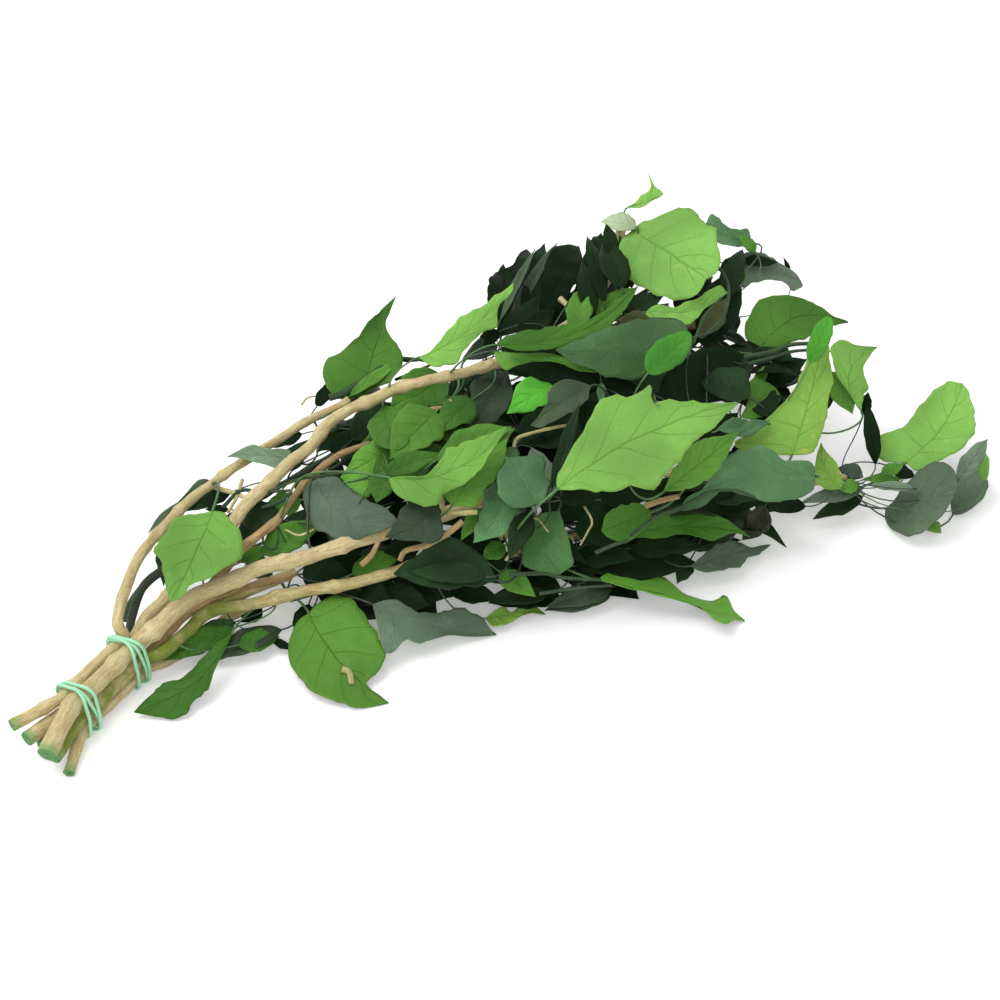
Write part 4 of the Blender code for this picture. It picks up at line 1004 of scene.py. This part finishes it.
def add_leaf(shell, leaf, course):
    """One leaf: a thin veined blade, and the petiole that runs on as its raised midrib."""
    seed = random.Random(leaf.name).uniform(0, 1)
    stations, columns = fineness(leaf)
    shares = blade_stations(stations)
    left, right = margin(leaf, -1, shares, seed), margin(leaf, 1, shares, seed)
    rows = [blade_row(leaf, s, {-1: left[i], 1: right[i]}, columns, seed) for i, s in enumerate(shares)]
    upper, lower = [], []
    for i, row in enumerate(rows):
        normals = row_normals(rows, i)
        grain = [tuple(point) for point in row]
        # The leaf's light, with painted shade at a small leaf's base, is painted into its colour.
        light = leaf.light * shadow(leaf, shares[i])
        for sheet, height in ((upper, BLADE_THICKNESS / 2), (lower, -BLADE_THICKNESS / 2)):
            points = [point + normal * height for point, normal in zip(row, normals)]
            sheet.append(shell.ring(points, grain, light))
    width = 2 * columns
    for i in range(stations):
        for k in range(width):
            uv = [(k / width, shares[i]), ((k + 1) / width, shares[i]),
                  ((k + 1) / width, shares[i + 1]), (k / width, shares[i + 1])]
            shell.face(square_of(upper, i, k), 0, uv)
            shell.face(tuple(reversed(square_of(lower, i, k))), 1, list(reversed(uv)))
        for k, flip in ((0, False), (width, True)):
            rim = (upper[i][k], upper[i + 1][k], lower[i + 1][k], lower[i][k])
            shell.face(tuple(reversed(rim)) if flip else rim, 0, [(1.0, shares[i])] * 4)
    for sheet_up, sheet_low, flip in ((upper[0], lower[0], True), (upper[-1], lower[-1], False)):
        for k in range(width):
            end = (sheet_up[k], sheet_up[k + 1], sheet_low[k + 1], sheet_low[k])
            shell.face(tuple(reversed(end)) if flip else end, 0, [(1.0, 0.5)] * 4)
    add_petiole(shell, leaf, course, rows, shares)


def shadow(leaf, s):
    """The share of light at a station; a small leaf's base is shaded by the leaves about it."""
    return 1.0 if fineness(leaf) == FINE_BLADE else SHADED_BASE + TIP_GAIN * s


def make_leaf(leaf, courses, node=None):
    """A leaf as a piece of its own."""
    shell = Shell()
    add_leaf(shell, leaf, courses[leaf.stem])
    *faces, slot_name = TONES[leaf.tone]
    piece = shell.build(f"blade_{leaf.name}", faces)
    if node:
        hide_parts(node)


def petiole_path(leaf, course):
    """The petiole's centre line from inside the stem to the blade's base, and the blade's right."""
    base = Vector(leaf.base)
    forward, side, _ = blade_frame(leaf)
    behind = base - forward * leaf.reach
    centre, radius, direction = min(course, key=lambda place: (place[0] - behind).length)
    outward = behind - centre
    outward = (outward - direction * direction.dot(outward)).normalized()
    if leaf.petiole:
        return smooth_path([centre, *leaf.petiole, base], STALK_STEP), side
    foot = centre + outward * radius * 0.7
    pull = (base - foot).length * PETIOLE_PULL
    start = (blade_point(leaf, 0.1, 0, 0) - base).normalized()
    bends = [foot, foot + outward * pull, base - start * pull, base]
    return [bezier(bends, i / PETIOLE_STATIONS) for i in range(PETIOLE_STATIONS + 1)], side


def bezier(bends, t):
    """A point of the cubic curve with the four given control points."""
    a, b, c, d = bends
    u = 1 - t
    return u * u * u * a + 3 * u * u * t * b + 3 * u * t * t * c + t * t * t * d


def add_petiole(shell, leaf, course, rows, shares):
    """The petiole, swollen at its foot, which goes on as a tapering ridge under the midrib."""
    path, side = petiole_path(leaf, course)
    stalk = min(STALK_RADIUS, 0.28 + leaf.width * 0.01)
    steps = walked(path)
    radii = [stalk * (1 + 0.5 * bump(step, 4) + 0.12 * bump(step - steps[-1], 3)) for step in steps]
    free = len(path)
    rib_side = -1 if leaf.tone in SHINY_TONES else 1
    middle = len(rows[0]) // 2
    for i, share in enumerate(shares[1:-1], 1):
        if share > RIB_REACH:
            break
        path.append(rows[i][middle] + row_normals(rows, i)[middle] * rib_side * RIB_HEIGHT)
        radii.append(stalk * RIB_SHARE * (1 - share / RIB_REACH) ** 0.7 + 0.1)
    add_stalk(shell, path, radii, side, free, leaf.light)


def add_stalk(shell, path, radii, side, free, light=1.0):
    """A thin round stalk, its free part in the stalk's own finish and the rest in the blade's."""
    rings = []
    turns = [2 * math.pi * k / STALK_SIDES for k in range(STALK_SIDES)]
    frames = carried_frames(tangents(path), side)
    for point, radius, step, (across, top) in zip(path, radii, walked(path), frames):
        points = [point + (across * math.cos(turn) + top * math.sin(turn)) * radius for turn in turns]
        rings.append(shell.ring(points, [circle_grain(turn, radius, step) for turn in turns], light))
    for i, (ring, following) in enumerate(zip(rings, rings[1:])):
        shell.bridge(ring, following, 2 if i < free else 0)
    shell.cap(rings[0], 2, outward=False)
    shell.cap(rings[-1], 0 if len(rings) > free else 2, outward=True)


# ---------------------------------------------------------------- shoots

def turned(direction, angle):
    """The direction turned about the vertical."""
    c, s = math.cos(math.radians(angle)), math.sin(math.radians(angle))
    return Vector((direction.x * c - direction.y * s, direction.x * s + direction.y * c, direction.z))


def small_leaf(number, x, y, z, tip_x, tip_y, tip_z, width, roll, tone="ink", light=1.0):
    """A leaf of the small ones' table; its petiole joins the nearest stem."""
    return Leaf(f"leaf_{number}", "any", (x, y, z), (tip_x, tip_y, tip_z), width, roll, tone, light=light,
                **SMALL_LEAF_SHAPES.get(number, {}))


def shoot_leaf(shoot, number, place, direction, dice):
    """A leaf of a shoot, on its left and its right by turns, pointing outward and lying fairly flat."""
    hand = 1 if number % 2 else -1
    length = shoot.size * dice.uniform(*SHOOT_LEAF_SIZE)
    width = length * dice.uniform(*SHOOT_LEAF_WIDTH)
    heading = turned(direction, hand * dice.uniform(*SHOOT_LEAF_TURN))
    heading.z = dice.uniform(*SHOOT_LEAF_SLOPE)
    heading.normalize()
    base = place + heading * dice.uniform(*SHOOT_LEAF_STALK) + UP * dice.uniform(*SHOOT_LEAF_LIFT)
    tip = base + heading * length
    tip.z = max(tip.z, LOWEST_TIP)
    base.z = max(base.z, LOWEST_TIP + 1)
    roll = dice.uniform(*SHOOT_LEAF_ROLL)
    shape = {name: dice.uniform(*limits) for name, limits in SHOOT_LEAF_SHAPE.items()}
    return Leaf(f"{shoot.name}_{number}", shoot.name, tuple(base), tuple(tip), width, roll, shoot.tone,
                reach=SHOOT_LEAF_REACH, wave=SHOOT_LEAF_WAVE, **shape)


def make_shoot(shoot):
    """A side twig inside the bunch with a leaf at each of its joints, as one piece."""
    dice = random.Random(shoot.name)
    path = smooth_path(shoot.route, SHOOT_STEP)
    radii = even_taper(path, SHOOT_RADIUS, SHOOT_RADIUS * SHOOT_TAPER)
    directions = tangents(path)
    course = list(zip(path, radii, directions))
    shell = Shell()
    add_stalk(shell, path, radii, UP, len(path))
    spots = spread(path, [(i + 0.5) / shoot.leaves for i in range(shoot.leaves)])
    for number, spot in enumerate(spots):
        nearest = min(range(len(path)), key=lambda i: (path[i] - spot).length)
        leaf = shoot_leaf(shoot, number, spot, directions[nearest], dice)
        add_leaf(shell, leaf, course)
    *faces, slot_name = TONES[shoot.tone]
    shell.build(f"shoot_{shoot.name}", faces)


# ---------------------------------------------------------------- materials

def shade(red, green, blue):
    """A colour written as 0 to 255 display values, as the linear values that a shader takes."""
    return tuple(((value / 255 + 0.055) / 1.055) ** 2.4 if value > 10 else value / 255 / 12.92
                 for value in (red, green, blue)) + (1.0,)


class Nodes:
    """A node tree; most calls add a node and return its output socket."""

    def __init__(self, tree):
        self.tree = tree

    def node(self, kind, *values, **settings):
        """A new node with these settings, its first inputs fed with the values."""
        node = self.tree.nodes.new(kind)
        for key, value in settings.items():
            setattr(node, key, value)
        for socket, value in zip(node.inputs, values):
            self.feed(socket, value)
        return node

    def feed(self, socket, value):
        """Links another node's output to the socket, or sets the socket to a plain value."""
        if isinstance(value, bpy.types.NodeSocket):
            self.tree.links.new(value, socket)
        elif value is not None:
            socket.default_value = value

    def math(self, operation, *values):
        return self.node("ShaderNodeMath", *values, operation=operation).outputs[0]

    def times(self, a, b):
        return self.math("MULTIPLY", a, b)

    def line(self, value, factor, start):
        """The value times the factor, plus the start."""
        return self.math("MULTIPLY_ADD", value, factor, start)

    def vectors(self, operation, *values):
        return self.node("ShaderNodeVectorMath", *values, operation=operation)

    def ease(self, value, low, high, start=0.0, end=1.0):
        """The value mapped from low..high to start..end, with level ends."""
        return self.node("ShaderNodeMapRange", value, low, high, start, end,
                         interpolation_type="SMOOTHSTEP").outputs[0]

    def mix(self, factor, a, b):
        node = self.node("ShaderNodeMix", data_type="RGBA")
        for name, value in (("Factor_Float", factor), ("A_Color", a), ("B_Color", b)):
            self.feed(next(item for item in node.inputs if item.identifier == name), value)
        return next(item for item in node.outputs if item.identifier == "Result_Color")

    def texture(self, kind, place, settings, **options):
        """A texture at the place, with its settings by the names of their sockets."""
        node = self.node(kind, **options)
        for name, value in (("Vector", place), *settings.items()):
            self.feed(node.inputs[name], value)
        return node.outputs

    def noise(self, place, scale, detail=2.0, roughness=0.5):
        settings = {"Scale": scale, "Detail": detail, "Roughness": roughness}
        return self.texture("ShaderNodeTexNoise", place, settings)["Fac"]

    def cells(self, place, scale, feature="DISTANCE_TO_EDGE"):
        return self.texture("ShaderNodeTexVoronoi", place, {"Scale": scale}, feature=feature)["Distance"]

    def seen(self):
        """1 for what the camera sees, by itself or in a reflection, and 0 for the light on the bunch."""
        rays = self.node("ShaderNodeLightPath").outputs
        mirrored = self.math("MAXIMUM", rays["Is Glossy Ray"], rays["Is Transmission Ray"])
        return self.math("MAXIMUM", rays["Is Camera Ray"], mirrored)


class Finish(Nodes):
    """One Principled material."""

    def __init__(self, name, colour, roughness):
        self.material = bpy.data.materials.new(name)
        self.material.use_nodes = True
        super().__init__(self.material.node_tree)
        self.shader = self.tree.nodes["Principled BSDF"]
        self.material.diffuse_color = colour
        self.colour(colour)
        self.rough(roughness)

    def place(self):
        """Coordinates in metres, the same as the object's."""
        return self.node("ShaderNodeTexCoord").outputs["Object"]

    def grain(self, stretch):
        """Coordinates in millimetres along a straightened branch, its third one stretched."""
        attribute = self.node("ShaderNodeAttribute", attribute_name="Grain").outputs["Vector"]
        return self.vectors("MULTIPLY", attribute, (1.0, 1.0, stretch)).outputs[0]

    def light(self):
        """The number that each point carries: a leaf's painted light and shade, or 0 where bark is full of
        dye.
        """
        return self.node("ShaderNodeAttribute", attribute_name="Light").outputs["Fac"]

    def leaf_map(self):
        """Across the blade, from -1 to 1, and along it, from 0 to 1."""
        uv = self.node("ShaderNodeUVMap", uv_map="LeafMap").outputs[0]
        parts = self.node("ShaderNodeSeparateXYZ", uv)
        return self.line(parts.outputs[0], 2.0, -1.0), parts.outputs[1]

    def lit(self, tone):
        """The tone with its leaf's painted light and shade; a leaf dimmed by painted shade is a deeper green
        as well.
        """
        light = self.light()
        deep = self.vectors("MULTIPLY", tone, PAINTED_SHADE_TINT).outputs[0]
        node = self.vectors("SCALE", self.mix(self.ease(light, 0.35, 0.95, 1.0, 0.0), tone, deep))
        self.feed(node.inputs["Scale"], light)
        return node.outputs[0]

    def relief(self, height, distance):
        """Bumps of the given height, in metres, where height is 1."""
        node = self.node("ShaderNodeBump")
        for name, value in (("Strength", 1.0), ("Distance", distance), ("Height", height)):
            self.feed(node.inputs[name], value)
        self.feed(self.shader.inputs["Normal"], node.outputs["Normal"])

    def colour(self, value):
        self.feed(self.shader.inputs["Base Color"], value)

    def rough(self, value):
        self.feed(self.shader.inputs["Roughness"], value)


def scaled(colour, factor):
    """The colour, brighter or darker by the factor."""
    return tuple(min(1.0, value * factor) for value in colour[:3]) + (1.0,)


def vein_lines(f, place, u, v):
    """1 on the midrib and the side veins, which lie as they do in vein_distance, with a wobble."""
    across = f.math("ABSOLUTE", u)
    wobble = f.line(f.noise(place, 45.0), 0.3, -0.15)
    slant = f.times(f.math("POWER", across, VEIN_CURVE), VEIN_SLANT)
    phase = f.math("SUBTRACT", f.line(v, VEIN_PAIRS, wobble), slant)
    shift = f.math("MINIMUM", f.times(v, 2.0), VEIN_SHIFT)
    phase = f.line(f.math("GREATER_THAN", u, 0.0), shift, phase)
    distance = f.math("ABSOLUTE", f.math("SUBTRACT", f.math("FRACT", f.math("ADD", phase, 0.5)), 0.5))
    side_veins = f.times(f.ease(distance, 0.005, 0.03, 1.0, 0.0), f.line(across, -0.7, 1.0))
    return f.math("MAXIMUM", side_veins, f.ease(across, 0.008, 0.03, 1.0, 0.0)), across


def blade_finish(name, colour, veins, dry_tone, roughness, dryness, sheen, raised):
    """A leaf's face: midrib, side veins and a fine net of veins, with mottling, a dry margin and, on a shiny
    face, painted sheen.
    """
    colour = shade(*colour)
    f = Finish(f"leaf_{name}", colour, roughness)
    f.shader.inputs["Specular IOR Level"].default_value = sheen
    place = f.place()
    lines, across = vein_lines(f, place, *f.leaf_map())
    net = f.ease(f.cells(place, 600.0), 0.0, 0.14, 1.0, 0.0)
    fine = f.noise(place, 900.0, 3.0)
    patches = f.noise(place, 95.0, 4.0, 0.6)
    tone = f.mix(f.ease(f.noise(place, 24.0, 3.0), 0.34, 0.66), scaled(colour, 0.82), scaled(colour, 1.14))
    tone = f.mix(f.ease(patches, 0.4, 0.7, 0.0, 0.3), tone, scaled(colour, 0.74))
    if not raised:
        # Pale blotches on a shiny face are painted sheen.
        painted_sheen = f.ease(f.noise(place, 70.0, 5.0, 0.65), 0.50, 0.72, 0.0, 0.45)
        tone = f.mix(painted_sheen, tone, scaled(colour, 1.6))
    tone = f.mix(f.times(net, 0.07), tone, shade(*veins))
    tone = f.mix(f.times(lines, 0.45), tone, shade(*veins))
    spots = f.times(f.ease(f.noise(place, 150.0, 2.0), 0.66, 0.74), dryness)
    dry_edge = f.times(f.ease(across, 0.93, 1.0), f.ease(patches, 0.4, 0.62, 0.1, 0.6))
    dry = f.math("MAXIMUM", spots, f.times(dry_edge, min(1.0, 0.2 + dryness)))
    f.colour(f.lit(f.mix(dry, tone, shade(*dry_tone))))
    f.rough(f.line(patches, 0.25, roughness - 0.125))
    side = 1 if raised else -1
    height = f.line(lines, 0.6 * side, f.times(fine, 0.2))
    f.relief(f.line(patches, 0.8, f.line(net, 0.2 * side, height)), 0.0005)
    return f.material


def stalk_finish(name, colour, dark):
    """A leaf stalk: smooth and lightly furrowed, and darker in places."""
    f = Finish(name, colour, 0.45)
    furrow = f.noise(f.grain(0.12), 2.2, 3.0)
    tone = f.mix(f.ease(f.noise(f.place(), 70.0), 0.35, 0.65), colour, dark)
    f.colour(f.mix(f.ease(furrow, 0.4, 0.7, 0.0, 0.5), tone, scaled(colour, 1.35)))
    f.relief(furrow, 0.0003)
    return f.material


def bark_finish(name, colour, dark, pale, moss, moss_amount, rust=0.4, moss_end=None):
    """Bark with long cracks, raised pores and dirt; moss up to moss_end along X, and dye at the cuts."""
    colour, dark, pale, moss = (shade(*tone) for tone in (colour, dark, pale, moss))
    f = Finish(f"bark_{name}", colour, 0.75)
    place = f.place()
    long_grain = f.grain(0.2)
    even_grain = f.grain(0.7)
    streaks = f.noise(long_grain, 0.9, 5.0, 0.62)
    fibres = f.noise(long_grain, 3.6, 4.0, 0.6)
    specks = f.noise(even_grain, 4.5, 3.0, 0.7)
    pores = f.ease(f.cells(even_grain, 0.55, "F1"), 0.10, 0.26, 1.0, 0.0)
    tone = f.mix(f.ease(streaks, 0.30, 0.60), dark, colour)
    tone = f.mix(f.ease(f.noise(place, 90.0, 3.0), 0.5, 0.68, 0.0, rust), tone, RUST)
    tone = f.mix(f.ease(specks, 0.50, 0.70, 0.0, 0.8), tone, pale)
    tone = f.mix(f.ease(specks, 0.50, 0.34, 0.0, 0.45), tone, dark)
    tone = f.mix(f.times(pores, 0.45), tone, pale)
    tone = f.mix(f.ease(fibres, 0.28, 0.38, 0.5, 0.0), tone, scaled(dark, 0.45))
    stain = f.times(f.ease(f.noise(place, 38.0, 4.0, 0.6), 0.34, 0.50), moss_amount)
    if moss_end is not None:
        along = f.node("ShaderNodeSeparateXYZ", place).outputs[0]
        stain = f.times(stain, f.ease(along, moss_end, moss_end - MOSS_FADE))
    tone = f.mix(stain, tone, f.mix(f.ease(specks, 0.38, 0.62), scaled(moss, 0.45), scaled(moss, 1.35)))
    soaked = f.times(f.ease(f.light(), 0.0, 1.0, 0.75, 0.0), f.ease(specks, 0.3, 0.6, 0.4, 1.0))
    f.colour(f.mix(soaked, tone, DYE))
    f.rough(f.line(fibres, 0.3, 0.6))
    height = f.line(specks, 0.8, f.line(streaks, 0.7, f.times(fibres, 0.7)))
    f.relief(f.line(pores, 0.3, height), 0.0007)
    return f.material


def wood_finish():
    """The cut face of a stem: growth rings about a pith, soaked with green dye."""
    dyed, pale, pith = shade(74, 158, 80), shade(170, 206, 130), shade(60, 74, 40)
    f = Finish("cut_wood", dyed, 0.7)
    x, y, _ = f.node("ShaderNodeSeparateXYZ", f.grain(1.0)).outputs
    radius = f.math("SQRT", f.line(x, x, f.times(y, y)))
    rings = f.math("SINE", f.times(radius, 7.0))
    fibres = f.noise(f.place(), 1400.0, 3.0)
    tone = f.mix(f.ease(rings, -0.6, 1.0, 0.0, 0.6), dyed, pale)
    tone = f.mix(f.ease(radius, 0.9, 0.3), tone, pith)
    f.colour(f.mix(f.ease(fibres, 0.45, 0.7, 0.0, 0.5), tone, scaled(dyed, 0.45)))
    f.relief(f.math("ADD", rings, fibres), 0.0003)
    return f.material


def rubber_finish():
    """Stretched mint-green rubber: faintly ribbed along the strand, with a soft gloss."""
    mint = shade(168, 232, 190)
    f = Finish("mint_rubber", mint, 0.42)
    ribs = f.noise(f.grain(0.05), 4.5, 3.0)
    dust = f.noise(f.place(), 260.0, 3.0)
    tone = f.mix(f.ease(ribs, 0.4, 0.65), scaled(mint, 0.82), scaled(mint, 1.1))
    f.colour(f.mix(f.ease(dust, 0.55, 0.75, 0.0, 0.35), tone, shade(110, 190, 150)))
    f.rough(f.line(dust, 0.3, 0.3))
    f.relief(ribs, 0.0002)
    return f.material


RUST = shade(196, 142, 84)
DYE = shade(92, 176, 96)
MOSS_FADE = 0.03        # metres on which the moss gives way to bare bark
CUT_WOOD = wood_finish()
RUBBER = rubber_finish()

# Each bark: its slot, colour, dark and pale parts, moss, how mossy; how rusty, and where the moss ends
BARK_LOOKS = {
    "tan": ("bark_tan", (246, 228, 170), (206, 176, 120), (255, 247, 208), (168, 164, 100), 0.25),
    "mossy": ("bark_green", (222, 207, 146), (168, 150, 88), (242, 231, 180), (132, 152, 46), 0.95,
              0.4, -0.125),
    "russet": ("bark_tan", (212, 178, 126), (160, 118, 76), (234, 210, 164), (140, 134, 78), 0.3),
    "straw": ("bark_tan", (222, 210, 150), (176, 164, 100), (238, 228, 180), (160, 170, 100), 0.3),
    "shoot": ("bark_dark", (66, 76, 62), (34, 42, 34), (120, 128, 104), (48, 70, 44), 0.5, 0.0),
    "stalk": ("bark_dark", (58, 92, 54), (28, 50, 30), (104, 134, 84), (40, 70, 36), 0.4, 0.0),
}
BARKS = {name: bark_finish(name, *look) for name, (_, *look) in BARK_LOOKS.items()}

# Each tone: its slot and its upward face's name, colour, veins, dry spots, roughness, dryness and sheen.
# Dull tones have raised veins and show a leaf's underside or a young leaf, and shiny ones its upper side.
DULL_TONES = {
    "pale": ("leaf_pale", "under_pale", (130, 186, 84), (98, 154, 60), (196, 206, 112), 0.55, 0.2, 0.2),
    "warm": ("leaf_pale", "under_warm", (128, 174, 72), (94, 138, 50), (206, 192, 104), 0.55, 0.3, 0.2),
    "mist": ("leaf_pale", "under_mist", (176, 196, 158), (140, 166, 126), (200, 206, 170), 0.5, 0.2, 0.2),
    "fresh": ("leaf_fresh", "fresh", (94, 149, 52), (66, 115, 40), (150, 166, 70), 0.48, 0.2, 0.2),
    "vivid": ("leaf_fresh", "vivid", (84, 168, 52), (60, 134, 42), (150, 186, 70), 0.42, 0.15, 0.2),
}
SHINY_TONES = {
    "jade": ("leaf_teal", "jade", (82, 124, 80), (108, 146, 100), (124, 150, 96), 0.42, 0.15, 0.2),
    "teal": ("leaf_teal", "teal", (78, 116, 76), (104, 140, 94), (120, 146, 92), 0.42, 0.15, 0.2),
    # The grey in the ash and slate colours is partly painted sheen.
    "ash": ("leaf_teal", "ash", (96, 118, 94), (120, 140, 110), (130, 138, 104), 0.42, 0.2, 0.2),
    "slate": ("leaf_teal", "slate", (68, 86, 68), (90, 108, 82), (106, 110, 76), 0.38, 0.2, 0.2),
    "steel": ("leaf_dark", "steel", (50, 65, 46), (72, 88, 62), (90, 92, 74), 0.34, 0.2, 0.08),
    "gloss": ("leaf_teal", "gloss", (60, 102, 50), (84, 124, 68), (100, 116, 76), 0.34, 0.15, 0.35),
    "olive": ("leaf_dark", "olive", (72, 80, 44), (98, 104, 62), (110, 104, 60), 0.42, 0.3, 0.15),
    "dark": ("leaf_dark", "dark", (34, 58, 32), (58, 82, 48), (70, 76, 40), 0.38, 0.2, 0.06),
    "ink": ("leaf_dark", "ink", (22, 41, 20), (40, 60, 32), (40, 44, 26), 0.38, 0.2, 0.03),
    "umber": ("leaf_dark", "umber", (50, 52, 42), (84, 84, 64), (146, 128, 88), 0.36, 0.5, 0.3),
}


def leaf_looks():
    """For each tone the materials of the upward face, the other face and the stalk, and the slot."""
    dull = {tone: blade_finish(*look, raised=True) for tone, (_, *look) in DULL_TONES.items()}
    shiny = {tone: blade_finish(*look, raised=False) for tone, (_, *look) in SHINY_TONES.items()}
    under = blade_finish("under_olive", (96, 132, 62), (70, 102, 44), (146, 146, 76), 0.55, 0.3, 0.2, True)
    green = stalk_finish("stalk_green", shade(74, 118, 58), shade(44, 80, 42))
    dark = stalk_finish("stalk_dark", shade(44, 64, 40), shade(26, 40, 26))
    looks = {tone: (face, shiny["dark"], green, DULL_TONES[tone][0]) for tone, face in dull.items()}
    looks |= {tone: (face, under, dark, SHINY_TONES[tone][0]) for tone, face in shiny.items()}
    return looks


TONES = leaf_looks()


# ---------------------------------------------------------------- studio

def floor_finish():
    """A white floor that the camera and reflections see as white, apart from the shadow.

    Far from the bunch it gives way to the plain white of the surroundings.
    """
    f = Finish("floor_white", FLOOR_TONE, 0.9)
    distance = f.vectors("LENGTH", f.place()).outputs["Value"]
    far = f.ease(distance, *FLOOR_FADE)
    f.shader.inputs["Emission Color"].default_value = WHITE
    glow = f.line(far, 1.0 - FLOOR_GLOW, FLOOR_GLOW)
    f.feed(f.shader.inputs["Emission Strength"], f.times(f.seen(), glow))
    f.colour(f.mix(far, FLOOR_TONE, BLACK))
    f.rough(f.ease(f.noise(f.place(), 3.0), 0.3, 0.7, 0.85, 0.95))
    return f.material


def make_floor():
    """A large flat sheet at the height that the bunch lies on."""
    side = FLOOR_REACH
    mesh = bpy.data.meshes.new("floor")
    mesh.from_pydata([(-side, -side, 0), (side, -side, 0), (side, side, 0), (-side, side, 0)], [],
                     [(0, 1, 2, 3)])
    mesh.materials.append(floor_finish())
    floor = add_object("floor", mesh)


def soft_lamp(name, place, size, power):
    """A square softbox that looks at the bunch."""
    data = bpy.data.lights.new(name, "AREA")
    data.size = size
    data.energy = power
    lamp = add_object(name, data)
    lamp.location = place
    lamp.rotation_euler = (LAMP_TARGET - Vector(place)).to_track_quat("-Z", "Y").to_euler()


def light_world():
    """An even pale surrounding; the camera and reflections see it as white."""
    world = bpy.data.worlds.new("studio")
    world.use_nodes = True
    tree = Nodes(world.node_tree)
    back = world.node_tree.nodes["Background"]
    back.inputs["Color"].default_value = WHITE
    tree.feed(back.inputs["Strength"], tree.line(tree.seen(), 1.0 - AMBIENT, AMBIENT))
    bpy.context.scene.world = world


def make_camera():
    """Looks down on the bunch from the side of its cut ends."""
    data = bpy.data.cameras.new("camera")
    data.lens = LENS
    data.sensor_width = SENSOR_WIDTH
    turn, lift = math.radians(CAMERA_TURN), math.radians(CAMERA_LIFT)
    back = Vector((math.sin(turn) * math.cos(lift), -math.cos(turn) * math.cos(lift), math.sin(lift)))
    camera = add_object("camera", data)
    camera.location = (AIM - ORIGIN) * MM + back * CAMERA_DISTANCE
    camera.rotation_euler = (-back).to_track_quat("-Z", "Y").to_euler()
    bpy.context.scene.camera = camera


def make_studio():
    """The floor, the light and the camera."""
    make_floor()
    light_world()
    for lamp in LAMPS:
        soft_lamp(*lamp)
    make_camera()
    bpy.context.scene.view_settings.view_transform = "Standard"


# ---------------------------------------------------------------- the bunch

def stem_courses():
    """Each stem's points with the radius and the direction at each, its side branches too."""
    courses = {}
    for stem in STEMS:
        path = stem_path(stem)
        branches = [(path, even_taper(path, stem.radius, stem.end_radius))]
        branches += [fork_taper(stem, route) for route in stem.forks]
        courses[stem.name] = [place for path, radii in branches
                              for place in zip(path, radii, tangents(path))]
    courses["any"] = [place for course in courses.values() for place in course]
    return courses


make_studio()
for stem in STEMS:
    make_stem(stem)
for twig in TWIGS:
    make_twig(twig)
make_tie("tie_end", "rubber_tie_end", 0)
make_tie("tie_neck", "rubber_tie_neck", TIE_SPACING)
courses = stem_courses()
for shoot in SHOOTS:
    make_shoot(shoot)
for leaf in LEAVES:
    make_leaf(leaf, courses, node=leaf.name)
for number, row in enumerate(SMALL_LEAVES, FIRST_SMALL_LEAF):
    make_leaf(small_leaf(number, *row), courses)
